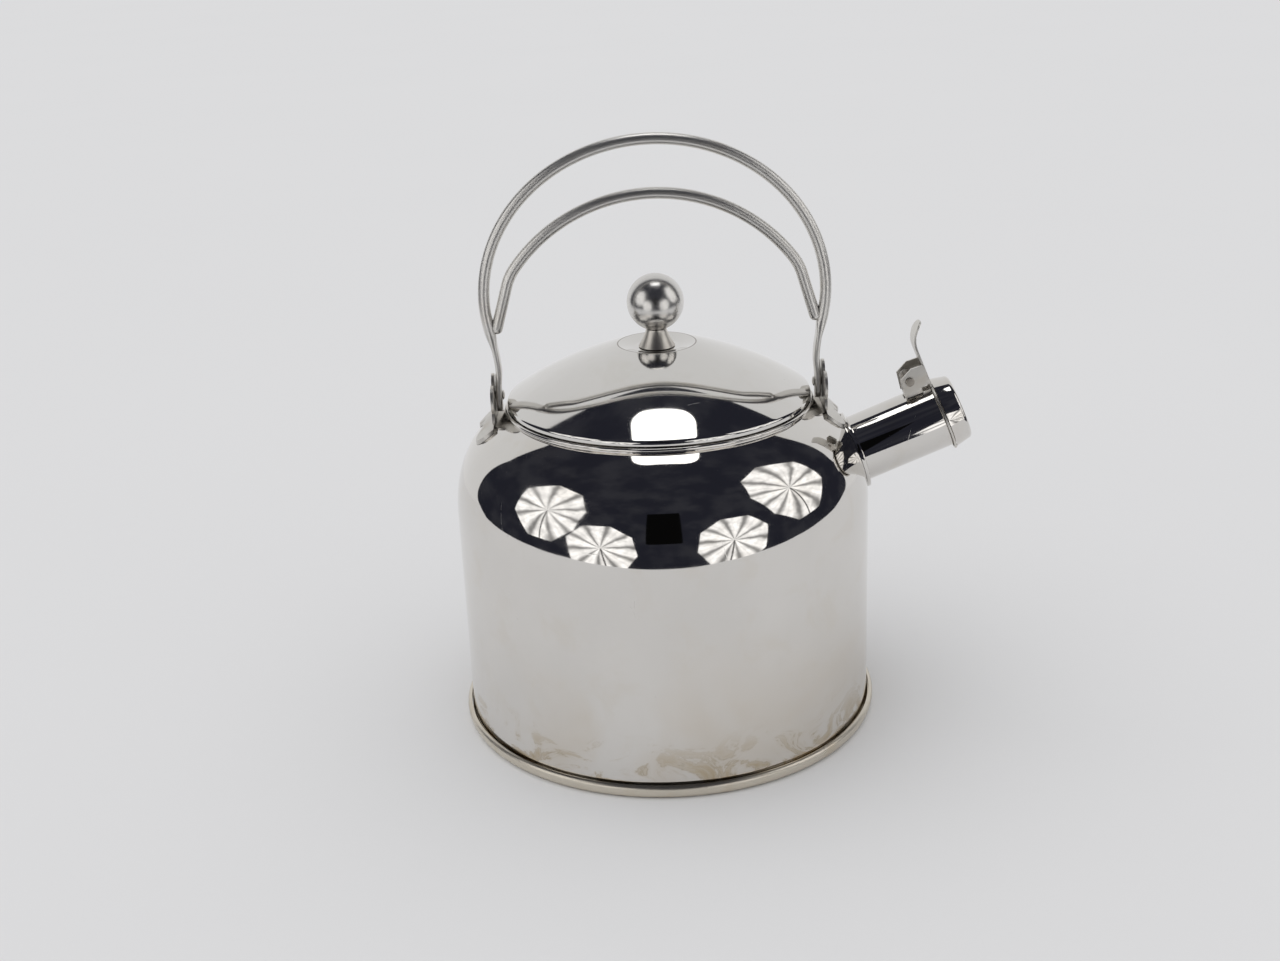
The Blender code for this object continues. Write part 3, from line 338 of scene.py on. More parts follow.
def soften(item, width, segments=2, angle=35):
    """Round the sharp edges a little, as on worn sheet metal."""
    modifier = item.modifiers.new("worn_edges", "BEVEL")
    modifier.width = width
    modifier.segments = segments
    modifier.limit_method = "ANGLE"
    modifier.angle_limit = math.radians(angle)
    modifier.use_clamp_overlap = True
    bpy.context.view_layer.update()
    graph = bpy.context.evaluated_depsgraph_get()
    mesh = bpy.data.meshes.new_from_object(item.evaluated_get(graph))
    item.modifiers.clear()
    item.data = mesh
    return item


def bend(start, start_pull, end_pull, end, steps):
    """Points along a cubic curve between two points and the two that pull it."""
    points = []
    for step in range(steps + 1):
        t = step / steps
        s = 1 - t
        points.append(tuple(s**3 * start + 3 * s**2 * t * start_pull + 3 * s * t**2 * end_pull + t**3 * end))
    return points


def eased(before, corner, after, radius, steps=10):
    """Points round a corner of a path, from one side to the other."""
    corner = Vector(corner)
    start = corner + (Vector(before) - corner).normalized() * radius
    end = corner + (Vector(after) - corner).normalized() * radius
    return bend(start, start.lerp(corner, 2 / 3), end.lerp(corner, 2 / 3), end, steps)


def shoulder_path(steps=64):
    foot = Vector((BODY_RADIUS, WALL_TOP_Z))
    end = Vector((SHOULDER_END_RADIUS, SHOULDER_END_Z))
    foot_pull = foot + Vector((0, SHOULDER_LOWER_PULL))
    end_heading = Vector((math.cos(SHOULDER_END_SLOPE), -math.sin(SHOULDER_END_SLOPE)))
    end_pull = end + end_heading * SHOULDER_UPPER_PULL
    points = bend(foot, foot_pull, end_pull, end, steps)
    neck_foot_z = SHOULDER_END_Z + (SHOULDER_END_RADIUS - NECK_RADIUS) * math.tan(SHOULDER_END_SLOPE)
    points.append((NECK_RADIUS, neck_foot_z))
    return points


def body_form(name, distance):
    rim_z = RIM_TOP_Z + OVERRUN
    path = [(BODY_RADIUS, BEAD_MID_Z), *shoulder_path(40), (NECK_RADIUS, rim_z)]
    return turned(name, [(0, BEAD_MID_Z), *beside(path, distance), (0, rim_z)], FINE)


def body_shell():
    flange_radius = BEAD_RADIUS - PAN_WALL - GAP
    flange_z = BEAD_MID_Z + BODY_WALL / 2
    rim_z = RIM_TOP_Z - RIM_RADIUS
    wall_height = WALL_TOP_Z - flange_z - FOOT_FILLET
    heights = [flange_z + FOOT_FILLET + wall_height * k / WALL_RINGS for k in range(WALL_RINGS)]
    path = [
        (flange_radius, flange_z),
        (BODY_RADIUS + FOOT_FILLET, flange_z),
        *((BODY_RADIUS, z) for z in heights),
        *shoulder_path(),
        (NECK_RADIUS, rim_z - RIM_RADIUS),
    ]
    centre = (NECK_RADIUS - BODY_WALL + RIM_RADIUS, rim_z)
    rim = arc(centre, (RIM_RADIUS, RIM_RADIUS), -math.pi / 3, math.pi, 20)
    shell = turned("polished_body", path + rim + beside(path, -BODY_WALL)[::-1], FINE)
    hole = cylinder("hole", SPOUT_HOLE_RADIUS, TUBE_ROOT_U, OVERRUN, SMALL, ALONG_SPOUT)
    combine(shell, ("DIFFERENCE", hole))
    discard(hole)
    return shell


def base_pan():
    corner = arc((BEAD_RADIUS - BEAD_CORNER, BEAD_MID_Z), (BEAD_CORNER, BEAD_MID_Z), -math.pi / 2, 0, 14)
    curl = arc((BEAD_RADIUS - BEAD_CURL, BEAD_MID_Z), (BEAD_CURL, BEAD_CURL_RISE), 0, math.pi / 2, 12)
    path = [(0, 0), (PAN_FLAT_RADIUS, 0), *corner, *curl[1:]]
    return turned("rolled_base", sheet(path, PAN_WALL), FINE)


def dome_path(steps=64):
    centre = (LID_RADIUS - LID_CORNER_RADIUS, LID_BASE_Z + LID_CORNER_RISE)
    corner = arc(centre, (LID_CORNER_RADIUS,) * 2, 0, math.pi / 2 - DOME_FOOT_SLOPE, 14)
    foot = Vector(corner[-1])
    rim = Vector((DISH_RADIUS, DOME_TOP_Z))
    pull = (rim - foot).length * DOME_PULL_SHARE
    foot_pull = foot + Vector((-math.cos(DOME_FOOT_SLOPE), math.sin(DOME_FOOT_SLOPE))) * pull
    rim_pull = rim + Vector((math.cos(DOME_TOP_SLOPE), -math.sin(DOME_TOP_SLOPE))) * pull
    return corner[:-1] + bend(foot, foot_pull, rim_pull, rim, steps)


def lid_shell():
    dome = dome_path()
    dish_foot = (DISH_FLOOR_RADIUS, DISH_FLOOR_Z)
    rim = eased(dome[-4], dome[-1], dish_foot, DISH_EASE)
    foot = eased(dome[-1], dish_foot, (SCREW_BORE, DISH_FLOOR_Z), DISH_EASE)
    path = [*(point for point in dome if point[0] > rim[0][0]), *rim, *foot, (SCREW_BORE, DISH_FLOOR_Z)]
    centre = (LID_RADIUS - LID_EDGE_RADIUS, LID_BASE_Z + LID_EDGE_RADIUS)
    edge = arc(centre, (LID_EDGE_RADIUS, LID_EDGE_RADIUS), -math.pi, 0, 14)
    return turned("polished_lid", edge + sheet(path, LID_WALL), FINE)


def lid_skirt():
    under = beside(dome_path(24), -LID_WALL - GAP)
    path = [(SKIRT_RADIUS, LID_BASE_Z - SKIRT_DROP)]
    for step in range(SKIRT_STEPS + 1):
        radius = SKIRT_RADIUS - SKIRT_FLANGE * step / SKIRT_STEPS
        path.append((radius, height_at(under, radius)))
    return turned("lid_collar", sheet(path, SKIRT_WALL), MEDIUM)


def knob_stem():
    foot_z = DISH_FLOOR_Z + GAP
    side = []
    for step in range(STEM_STEPS + 1):
        share = step / STEM_STEPS
        flare = (STEM_BASE_RADIUS - STEM_TOP_RADIUS) * (1 - share) ** STEM_POWER
        side.append((STEM_TOP_RADIUS + flare, foot_z + STEM_HEIGHT * share))
    return turned("knob_bush", [(SCREW_BORE, foot_z), *side, (SCREW_BORE, foot_z + STEM_HEIGHT)], MEDIUM)


def knob_ball():
    seat_z = DISH_FLOOR_Z + GAP + STEM_HEIGHT + GAP
    centre_z = seat_z + math.sqrt(BALL_RADIUS**2 - STEM_TOP_RADIUS**2)
    top = DISH_FLOOR_Z + BALL_BORE_RISE
    start = -math.acos(STEM_TOP_RADIUS / BALL_RADIUS)
    side = arc((0, centre_z), (BALL_RADIUS, BALL_RADIUS), start, math.pi / 2, 56)
    side[-1] = (0, centre_z + BALL_RADIUS)
    return turned("knob_sphere", [(0, top), (SCREW_BORE, top), (SCREW_BORE, seat_z), *side], MEDIUM)


def leg_x(z):
    if z >= WAIST_Z:
        share = (z - WAIST_Z) / (ARCH_SPRING_Z - WAIST_Z)
        return WAIST_X + (ARCH_HALF_SPAN - WAIST_X) * (1 - math.cos(math.pi * share)) / 2
    share = min(1, (WAIST_Z - z) / (WAIST_Z - LEG_STRAIGHT_Z))
    return WAIST_X + (LEG_X - WAIST_X) * (1 - math.cos(math.pi * share)) / 2


def outer_arch_bar(name, grown=0):
    top = arc((0, ARCH_SPRING_Z), (ARCH_HALF_SPAN, ARCH_RISE), math.pi, 0, 120)
    foot = LEG_END_Z + FLAT_HALF_WIDTH
    heights = [ARCH_SPRING_Z + (foot - ARCH_SPRING_Z) * step / LEG_STEPS for step in range(1, LEG_STEPS + 1)]
    for step in range(1, LEG_END_STEPS + 1):
        heights.append(LEG_END_Z + FLAT_HALF_WIDTH * (1 - math.sin(math.pi / 2 * step / LEG_END_STEPS)))
    right = [(leg_x(z), z) for z in heights]
    path = [(-x, z) for x, z in right][::-1] + top + right
    thick, width, square = [], [], []
    for _, z in path:
        share = min(1, max(0, (FLAT_START_Z - z) / (FLAT_START_Z - FLAT_END_Z)))
        flat = share * share * (3 - 2 * share)
        below = max(0, foot - z) / FLAT_HALF_WIDTH
        thick.append(ROD_RADIUS + (FLAT_HALF_THICKNESS - ROD_RADIUS) * flat + grown)
        half_width = ROD_RADIUS + (FLAT_HALF_WIDTH - ROD_RADIUS) * flat
        width.append(half_width * math.sqrt(max(1 - below**2, LEG_TIP_LEAST_SHARE)) + grown)
        square.append(2 + 2 * flat)
    return swept(name, path, thick, width, square, ROD_FACETS)


def inner_arch():
    turn = math.pi / 2 - INNER_TOP_ANGLE
    wide = arc((0, INNER_TOP_Z - INNER_TOP_BEND), (INNER_TOP_BEND,) * 2, math.pi / 2, turn, 48)
    x, z = wide[-1]
    centre = (x - INNER_CORNER_BEND * math.cos(turn), z - INNER_CORNER_BEND * math.sin(turn))
    corner = arc(centre, (INNER_CORNER_BEND,) * 2, turn, turn - INNER_CORNER_ANGLE, 16)
    last = Vector(corner[-1])
    end = Vector((leg_x(INNER_END_Z) - INNER_END_INSET, INNER_END_Z))
    straight = [tuple(last.lerp(end, k / INNER_END_STEPS)) for k in range(1, INNER_END_STEPS + 1)]
    right = wide + corner[1:] + straight
    path = [(-x, z) for x, z in right][::-1] + right[1:]
    sizes = []
    for _, z in path:
        near = min(1, max(0, 1 - (z - INNER_END_Z) / ROD_RADIUS))
        sizes.append(ROD_RADIUS * max(INNER_TIP_SHARE, math.sqrt(1 - near**2)))
    arch = swept("inner_handle_wire", path, sizes, sizes, [2] * len(path), ROD_FACETS)
    bar = outer_arch_bar("bar", TRIM_GAP)
    combine(arch, ("DIFFERENCE", bar))
    discard(bar)
    return arch


def lobed_outline(lobes, start, end, steps):
    outline = []
    for step in range(steps):
        angle = start + (end - start) * step / (steps - 1)
        heading = Vector((math.cos(angle), math.sin(angle)))
        reach = 0
        for x, y, radius in lobes:
            centre = Vector((x, y))
            nearest = heading.dot(centre)
            inside = nearest**2 - centre.length_squared + radius**2
            if inside >= 0:
                reach = max(reach, nearest + math.sqrt(inside))
        outline.append(tuple(heading * reach))
    return outline


TAB_LOBES = [
    (0, 0, 0.0065), (0, 0.0055, 0.0045), (0.0085, 0.0005, 0.0063), (-0.0085, 0.0005, 0.0063),
    (0.0060, -0.0080, 0.0072), (-0.0060, -0.0080, 0.0072),
]
FOOT_LOBES = [(0, 0, 0.0062), (0.0015, 0.0110, 0.0070), (0.0015, -0.0110, 0.0070)]


def ear(name, turn, under, over):
    facing = Matrix.Rotation(turn, 4, "Z")
    outline = lobed_outline(TAB_LOBES, 0, math.tau * 119 / 120, 120)
    pivot = facing @ Matrix.Translation((0, 0, PIVOT_Z))
    tab = prism(name, outline, TAB_INNER_X, TAB_OUTER_X, pivot @ FACING_X)
    foot_outline = lobed_outline(FOOT_LOBES, -math.pi / 2, math.pi / 2, 72)
    middle = Matrix.Translation(((TAB_INNER_X + TAB_OUTER_X) / 2, 0, 0))
    foot = prism(name + "_foot", foot_outline, WALL_TOP_Z, RIM_TOP_Z, facing @ middle)
    combine(foot, ("INTERSECT", over))
    hole = cylinder(name + "_hole", EAR_HOLE_RADIUS, TAB_INNER_X - OVERRUN, TAB_OUTER_X + OVERRUN, SMALL,
                    pivot @ ALONG_X)
    combine(tab, ("UNION", foot), ("DIFFERENCE", under), ("DIFFERENCE", hole))
    discard(foot, hole)
    return tab


def rivet(name, turn):
    inner_face = LEG_X - FLAT_HALF_THICKNESS - GAP
    outer_face = TAB_OUTER_X + GAP
    inner = arc((0, inner_face), RIVET_INNER_HEAD, -math.pi / 2, 0, 16)
    outer = arc((0, outer_face), RIVET_OUTER_HEAD, 0, math.pi / 2, 16)
    inner[0] = (0, inner_face - RIVET_INNER_HEAD[1])
    outer[-1] = (0, outer_face + RIVET_OUTER_HEAD[1])
    outline = [*inner, (RIVET_RADIUS, inner_face), (RIVET_RADIUS, outer_face), *outer]
    facing = Matrix.Rotation(turn, 4, "Z")
    return turned(name, outline, SMALL, facing @ Matrix.Translation((0, 0, PIVOT_Z)) @ ALONG_X)


def spout_tube(under):
    bore = TUBE_RADIUS - TUBE_WALL
    lip = arc((TUBE_RADIUS - TUBE_WALL / 2, TUBE_END_U - TUBE_WALL / 2), (TUBE_WALL / 2,) * 2, 0, math.pi, 8)
    outline = [(bore, TUBE_ROOT_U), (TUBE_RADIUS, TUBE_ROOT_U), *lip]
    tube = turned("spout_pipe", outline, FINE // 2, ALONG_SPOUT)
    return combine(tube, ("DIFFERENCE", under))


def spout_flange(under, over):
    flange = cylinder("spout_collar", FLANGE_RADIUS, TUBE_ROOT_U, -TUBE_ROOT_U, FINE // 2, ALONG_SPOUT)
    bore_radius = TUBE_RADIUS + TRIM_GAP
    bore = cylinder("bore", bore_radius, -FLANGE_BORE_REACH, FLANGE_BORE_REACH, FINE // 2, ALONG_SPOUT)
    combine(flange, ("INTERSECT", over), ("DIFFERENCE", under), ("DIFFERENCE", bore))
    discard(bore)
    return soften(flange, FLANGE_SOFTNESS, 3, 40)


def pin_hole(name):
    return cylinder(name, PIN_HOLE_RADIUS, -PIN_HOLE_REACH, PIN_HOLE_REACH, SMALL, PIN_FRAME @ ALONG_Y)


def hinge_bracket():
    nose = arc((PIN_U, PIN_V), (BRACKET_NOSE_RADIUS,) * 2, 0, math.pi, 24)
    outline = [
        (BRACKET_BACK_U, LEVER_FOOT_V),
        (BRACKET_FRONT_U, LEVER_FOOT_V),
        (BRACKET_FRONT_U, BRACKET_NOSE_V),
        *nose,
        (BRACKET_BACK_U, BRACKET_NOSE_V),
    ]
    bracket = prism("cap_hinge_channel", outline, -BRACKET_HALF_WIDTH, BRACKET_HALF_WIDTH, BESIDE_SPOUT)
    seat = cylinder("seat", TUBE_RADIUS + TRIM_GAP, SLOT_BACK_U, SLOT_FRONT_U, FINE // 2, ALONG_SPOUT)
    space = [(SLOT_BACK_U, SLOT_FLOOR_V), (SLOT_FRONT_U, SLOT_FLOOR_V)]
    space += [(SLOT_FRONT_U, SLOT_TOP_V), (SLOT_BACK_U, SLOT_TOP_V)]
    slot = prism("slot", space, -SLOT_HALF_WIDTH, SLOT_HALF_WIDTH, BESIDE_SPOUT)
    hole = pin_hole("hole")
    combine(bracket, ("DIFFERENCE", seat), ("DIFFERENCE", slot), ("DIFFERENCE", hole))
    discard(seat, slot, hole)
    return soften(bracket, BRACKET_SOFTNESS, 2)


def hinge_pin():
    face = LEVER_HALF_WIDTH + GAP
    end = face + PIN_HEAD_WALL
    centre = (PIN_HEAD_RADIUS - PIN_HEAD_EASE, end - PIN_HEAD_EASE)
    edge = arc(centre, (PIN_HEAD_EASE,) * 2, 0, math.pi / 2, 6)
    right = [(PIN_RADIUS, face), (PIN_HEAD_RADIUS, face), *edge, (0, end)]
    left = [(radius, -y) for radius, y in right]
    return turned("cap_pin", left[::-1] + right, SMALL, PIN_FRAME @ ALONG_Y)


def cap_spring():
    around = SPRING_CURL_POINTS
    middle = SPRING_CURLS / 2
    points = []
    for index in range(SPRING_CURLS * around + around // 2 + 1):
        angle = -math.pi / 2 - math.tau * index / around
        side = SPRING_PITCH * (index / around - middle - SPRING_SIDE_SHARE)
        x, z = SPRING_COIL_RADIUS * math.cos(angle), SPRING_COIL_RADIUS * math.sin(angle)
        points.append(Vector((x, side, z)))
    first, last = points[0], points[-1]
    tube_end = Vector((SPRING_TUBE_ARM, first.y, -SPRING_TUBE_DROP))
    lever_end = Vector((SPRING_LEVER_ARM, last.y, SPRING_LEVER_RISE))
    shares = [k / SPRING_ARM_POINTS for k in range(1, SPRING_ARM_POINTS + 1)]
    tube_arm = [first.lerp(tube_end, share) for share in shares[::-1]]
    points = tube_arm + points + [last.lerp(lever_end, share) for share in shares]
    curve = bpy.data.curves.new("hinge_spring", "CURVE")
    curve.dimensions = "3D"
    curve.bevel_depth = SPRING_WIRE_RADIUS
    curve.bevel_resolution = 3
    curve.use_fill_caps = True
    spline = curve.splines.new("POLY")
    spline.points.add(len(points) - 1)
    for slot, point in zip(spline.points, points):
        slot.co = (*point, 1)
    temporary = bpy.data.objects.new("hinge_spring_curve", curve)
    scene.collection.objects.link(temporary)
    bpy.context.view_layer.update()
    graph = bpy.context.evaluated_depsgraph_get()
    mesh = bpy.data.meshes.new_from_object(temporary.evaluated_get(graph))
    mesh.transform(PIN_FRAME)
    discard(temporary)
    spring = bpy.data.objects.new("hinge_spring", mesh)
    scene.collection.objects.link(spring)
    return spring


def cap_shell():
    edge_u = CAP_FRONT_U - CAP_EDGE
    edge = arc((CAP_FRONT_RADIUS - CAP_EDGE, edge_u), (CAP_EDGE, CAP_EDGE), 0, math.pi / 2, 14)
    path = [(CAP_REAR_RADIUS, LEVER_BACK_U + LEVER_WALL + GAP), *edge, (WHISTLE_HOLE_RADIUS, CAP_FRONT_U)]
    return turned("whistle_cap", sheet(path, CAP_WALL), FINE // 2, ALONG_SPOUT)


def whistle_plate():
    radius = CAP_FRONT_RADIUS - CAP_WALL - GAP
    path = [(WHISTLE_HOLE_RADIUS, WHISTLE_U), (radius, WHISTLE_U), (radius, CAP_FRONT_U - CAP_EDGE)]
    return turned("whistle_disc", sheet(path, WHISTLE_WALL), MEDIUM, ALONG_SPOUT)


def cap_lever():
    mid_u = LEVER_BACK_U + LEVER_WALL / 2
    half_wall = LEVER_WALL / 2
    strip = LEVER_HALF_WIDTH - half_wall
    centre = (mid_u + THUMB_BEND, LEVER_STRAIGHT_V)
    thumb = arc(centre, (THUMB_BEND,) * 2, math.pi, math.pi - THUMB_ANGLE, THUMB_STEPS)
    path = [(mid_u, LEVER_FOOT_V), (mid_u, LEVER_MIDDLE_V), *thumb]
    widths = [strip, strip]
    for step in range(THUMB_STEPS + 1):
        share = step / THUMB_STEPS
        narrowed = strip + (THUMB_HALF_WIDTH - strip) * min(1, 2 * share)
        widths.append(narrowed * math.sqrt(1 - THUMB_TAPER_SHARE * max(0, 2 * share - 1) ** 3))
    thicknesses = [half_wall] * len(path)
    squareness = [LEVER_SQUARENESS] * len(path)
    lever = swept("thumb_lever", path, thicknesses, widths, squareness, LEVER_FACETS, SPOUT_FRAME)
    back = LEVER_BACK_U + RING_STEP
    front = LEVER_BACK_U + LEVER_WALL - RING_STEP
    inside = RING_BORE_RADIUS - half_wall
    ring = turned("ring", [(inside, back), (RING_RADIUS, back), (RING_RADIUS, front), (inside, front)],
                  FINE // 2, ALONG_SPOUT)
    low, high = LEVER_BACK_U - OVERRUN, LEVER_BACK_U + OVERRUN
    bore = cylinder("bore", RING_BORE_RADIUS, low, high, FINE // 2, ALONG_SPOUT)
    eye = [(0.0298, 0.0161), (mid_u, 0.0178), (mid_u, 0.0268), (0.0367, 0.0272), (0.0309, 0.0243)]
    left = prism("eye_left", eye, EYE_INSIDE, LEVER_HALF_WIDTH, BESIDE_SPOUT)
    right = prism("eye_right", eye, -LEVER_HALF_WIDTH, -EYE_INSIDE, BESIDE_SPOUT)
    hole = pin_hole("hole")
    added = [("UNION", item) for item in (ring, left, right)]
    combine(lever, *added, ("DIFFERENCE", bore), ("DIFFERENCE", hole))
    discard(ring, bore, left, right, hole)
    return soften(lever, LEVER_SOFTNESS, 2, 45)


class Graph:
    """Short calls for one material's nodes."""

    def __init__(self, material):
        self.tree = material.node_tree
        self.nodes = self.tree.nodes
        coordinates = self.nodes.new("ShaderNodeTexCoord")
        self.place = coordinates.outputs["Object"]

    def link(self, source, target):
        self.tree.links.new(source, target)

    def stretched(self, scale, offset=(0, 0, 0)):
        node = self.nodes.new("ShaderNodeMapping")
        node.inputs["Scale"].default_value = scale
        node.inputs["Location"].default_value = offset
        self.link(self.place, node.inputs["Vector"])
        return node.outputs["Vector"]

    def noise(self, scale, detail=3, rough=0.5, vector=None, distortion=0.0):
        node = self.nodes.new("ShaderNodeTexNoise")
        node.inputs["Scale"].default_value = scale
        node.inputs["Detail"].default_value = detail
        node.inputs["Roughness"].default_value = rough
        node.inputs["Distortion"].default_value = distortion
        self.link(vector or self.place, node.inputs["Vector"])
        return node.outputs["Fac"]

    def cells(self, scale, vector=None, feature="F1", jitter=1.0):
        node = self.nodes.new("ShaderNodeTexVoronoi")
        node.feature = feature
        node.inputs["Scale"].default_value = scale
        node.inputs["Randomness"].default_value = jitter
        self.link(vector or self.place, node.inputs["Vector"])
        return node.outputs["Distance"]

    def ramp(self, value, low, high, to_low=0.0, to_high=1.0, smooth=True):
        node = self.nodes.new("ShaderNodeMapRange")
        node.interpolation_type = "SMOOTHSTEP" if smooth else "LINEAR"
        for name, number in (("From Min", low), ("From Max", high), ("To Min", to_low), ("To Max", to_high)):
            node.inputs[name].default_value = number
        self.link(value, node.inputs["Value"])
        return node.outputs["Result"]

    def math(self, operation, first, second=None):
        node = self.nodes.new("ShaderNodeMath")
        node.operation = operation
        for socket, value in zip(node.inputs, (first, second)):
            if value is None:
                continue
            if isinstance(value, (int, float)):
                socket.default_value = value
            else:
                self.link(value, socket)
        return node.outputs["Value"]

    def mix(self, factor, first, second):
        node = self.nodes.new("ShaderNodeMix")
        node.data_type = "RGBA"
        for name, value in (("Factor", factor), ("A", first), ("B", second)):
            kind = "VALUE" if name == "Factor" else "RGBA"
            socket = next(s for s in node.inputs if s.name == name and s.type == kind)
            if isinstance(value, tuple):
                socket.default_value = (*value, 1)
            elif isinstance(value, (int, float)):
                socket.default_value = value
            else:
                self.link(value, socket)
        return next(s for s in node.outputs if s.type == "RGBA")

    def height(self):
        node = self.nodes.new("ShaderNodeSeparateXYZ")
        self.link(self.place, node.inputs[0])
        return node.outputs

    def bump(self, height, distance, strength=1.0, normal=None):
        node = self.nodes.new("ShaderNodeBump")
        node.inputs["Strength"].default_value = strength
        node.inputs["Distance"].default_value = distance
        self.link(height, node.inputs["Height"])
        if normal:
            self.link(normal, node.inputs["Normal"])
        return node.outputs["Normal"]


def metal(name):
    material = bpy.data.materials.new(name)
    material.use_nodes = True
    shader = material.node_tree.nodes["Principled BSDF"]
    shader.inputs["Metallic"].default_value = 1.0
    return material, Graph(material), shader


SPECK_COLOUR = (0.20, 0.17, 0.14)
# Colour of the darker, warmer tint in broad patches towards the bottom of the body
LOW_BODY_TINT_COLOUR = (0.66, 0.60, 0.52)
# Colour taken in hollows, where Pointiness is low
HOLLOW_DARK_COLOUR = (0.16, 0.12, 0.08)
# Painted shade: colour of the dark ring drawn at the lid's dish rim
DISH_RIM_SHADE_COLOUR = (0.16, 0.13, 0.10)


def steel(name, colour, tarnish, rough, haze, wave=0.00003, scratch=0.35, stain=None,
          grain=0.0, hollow_dark=0.0, shade_ring_radius=None):
    """Polished sheet or wire: soft waviness, faint wiping marks, scratches, specks and stains; it can also be
    darker in hollows, darker towards the bottom, and carry a painted shade ring at a given radius.
    """
    material, g, shader = metal(name)
    cloud = g.noise(18, 4, 0.55)
    patch = g.noise(55, 4, 0.6, distortion=0.4)
    base = g.mix(g.ramp(cloud, 0.35, 0.7), colour, tuple(c * 0.955 for c in colour))
    base = g.mix(g.math("MULTIPLY", g.ramp(patch, 0.50, 0.72), 0.5), base, tarnish)
    speck = g.ramp(g.cells(210), 0.02, 0.055, 1.0, 0.0)
    sparse = g.ramp(g.noise(90, 2), 0.60, 0.68)
    speck = g.math("MULTIPLY", speck, sparse)
    base = g.mix(g.math("MULTIPLY", speck, 0.75), base, SPECK_COLOUR)
    wiping = g.noise(1.0, 3, 0.6, g.stretched((70, 70, 900)))
    smear = g.ramp(g.noise(26, 5, 0.65, distortion=1.2), 0.48, 0.75)
    roughness = g.math("ADD", g.math("MULTIPLY", smear, haze), rough)
    roughness = g.math("ADD", roughness, g.math("MULTIPLY", g.ramp(wiping, 0.3, 0.8), haze * 0.35))
    mark = g.cells(34, g.stretched((1.0, 1.6, 0.55), (0.13, 0.2, 0.4)), "DISTANCE_TO_EDGE")
    mark = g.ramp(mark, 0.0, 0.0035, 1.0, 0.0)
    few = g.ramp(g.noise(42, 3, 0.6), 0.60, 0.66)
    mark = g.math("MULTIPLY", mark, few)
    roughness = g.math("ADD", roughness, g.math("MULTIPLY", mark, scratch))
    if stain:
        low, high, strength, hue = stain
        _, _, z = g.height()
        band = g.ramp(z, low, high, 1.0, 0.0)
        run = g.noise(1.0, 5, 0.62, g.stretched((38, 38, 60)), 1.4)
        blot = g.ramp(run, 0.47, 0.66)
        ring = g.ramp(g.math("ABSOLUTE", g.math("SUBTRACT", run, 0.56)), 0.0, 0.018, 1.0, 0.0)
        # A darker, warmer tint in broad patches, strongest towards the bottom of the body
        wide = g.ramp(g.noise(13, 3, 0.5, distortion=0.6), 0.42, 0.68)
        tall = g.ramp(z, 0.01, 0.085, 0.8, 0.0)
        base = g.mix(g.math("MULTIPLY", g.math("MULTIPLY", wide, tall), 0.9), base, LOW_BODY_TINT_COLOUR)
        base = g.mix(g.math("MULTIPLY", g.math("MULTIPLY", blot, band), strength), base, hue)
        edged = g.math("MULTIPLY", g.math("MULTIPLY", ring, band), strength * 0.6)
        base = g.mix(edged, base, tuple(c * 0.8 for c in hue))
        roughness = g.math("ADD", roughness, g.math("MULTIPLY", g.math("MULTIPLY", blot, band), 0.12))
    # Darker and rougher in hollows, where Pointiness is low, with a little noise
    if hollow_dark:
        crevice = g.nodes.new("ShaderNodeNewGeometry").outputs["Pointiness"]
        hollow_mask = g.ramp(g.math("ADD", crevice, g.math("MULTIPLY", g.noise(160, 3), 0.06)), 0.44, 0.53, 1.0, 0.0)
        base = g.mix(g.math("MULTIPLY", hollow_mask, hollow_dark), base, HOLLOW_DARK_COLOUR)
        roughness = g.math("ADD", roughness, g.math("MULTIPLY", hollow_mask, 0.2))
    # Painted shade: a thin dark ring drawn round the dish rim's crisp edge
    if shade_ring_radius:
        x, y, _ = g.height()
        radius = g.math("SQRT", g.math("ADD", g.math("MULTIPLY", x, x), g.math("MULTIPLY", y, y)))
        line = g.ramp(g.math("ABSOLUTE", g.math("SUBTRACT", radius, shade_ring_radius)), 0.00012, 0.0004, 0.75, 0.0)
        base = g.mix(line, base, DISH_RIM_SHADE_COLOUR)
    g.link(base, shader.inputs["Base Color"])
    g.link(roughness, shader.inputs["Roughness"])
    normal = g.bump(g.noise(24, 2, 0.4), wave)
    if grain:
        fine = g.noise(1.0, 2, 0.5, g.stretched((60, 60, 1600)))
        normal = g.bump(fine, grain, 1.0, normal)
    normal = g.bump(g.math("ADD", mark, speck), 0.000004, 1.0, normal)
    g.link(normal, shader.inputs["Normal"])
    return material


BRIGHT = (0.745, 0.725, 0.695)
mirror_body = steel("mirror_body", BRIGHT, (0.70, 0.665, 0.61), 0.035, 0.055, 0.00005, 0.35,
                    stain=(0.006, 0.032, 0.9, (0.50, 0.41, 0.28)), grain=0.0000006)
# The lid carries a painted shade ring at its dish rim
mirror_lid = steel("mirror_lid", (0.755, 0.74, 0.715), (0.71, 0.69, 0.65), 0.035, 0.04, 0.00003,
                   shade_ring_radius=DISH_RADIUS)
mirror_spout = steel("mirror_spout", (0.75, 0.73, 0.70), (0.68, 0.64, 0.58), 0.035, 0.05, 0.00002)
mirror_knob = steel("mirror_knob", (0.76, 0.745, 0.72), (0.72, 0.69, 0.65), 0.25, 0.05, 0.00001)
bush_steel = steel("bush_steel", (0.70, 0.665, 0.61), (0.60, 0.53, 0.44), 0.36, 0.08, 0.00001)
wire = steel("handle_steel", (0.80, 0.785, 0.755), (0.72, 0.68, 0.62), 0.34, 0.06, 0.00001)
base_metal = steel("base_steel", (0.72, 0.67, 0.58), (0.62, 0.53, 0.40), 0.30, 0.10, 0.00002)
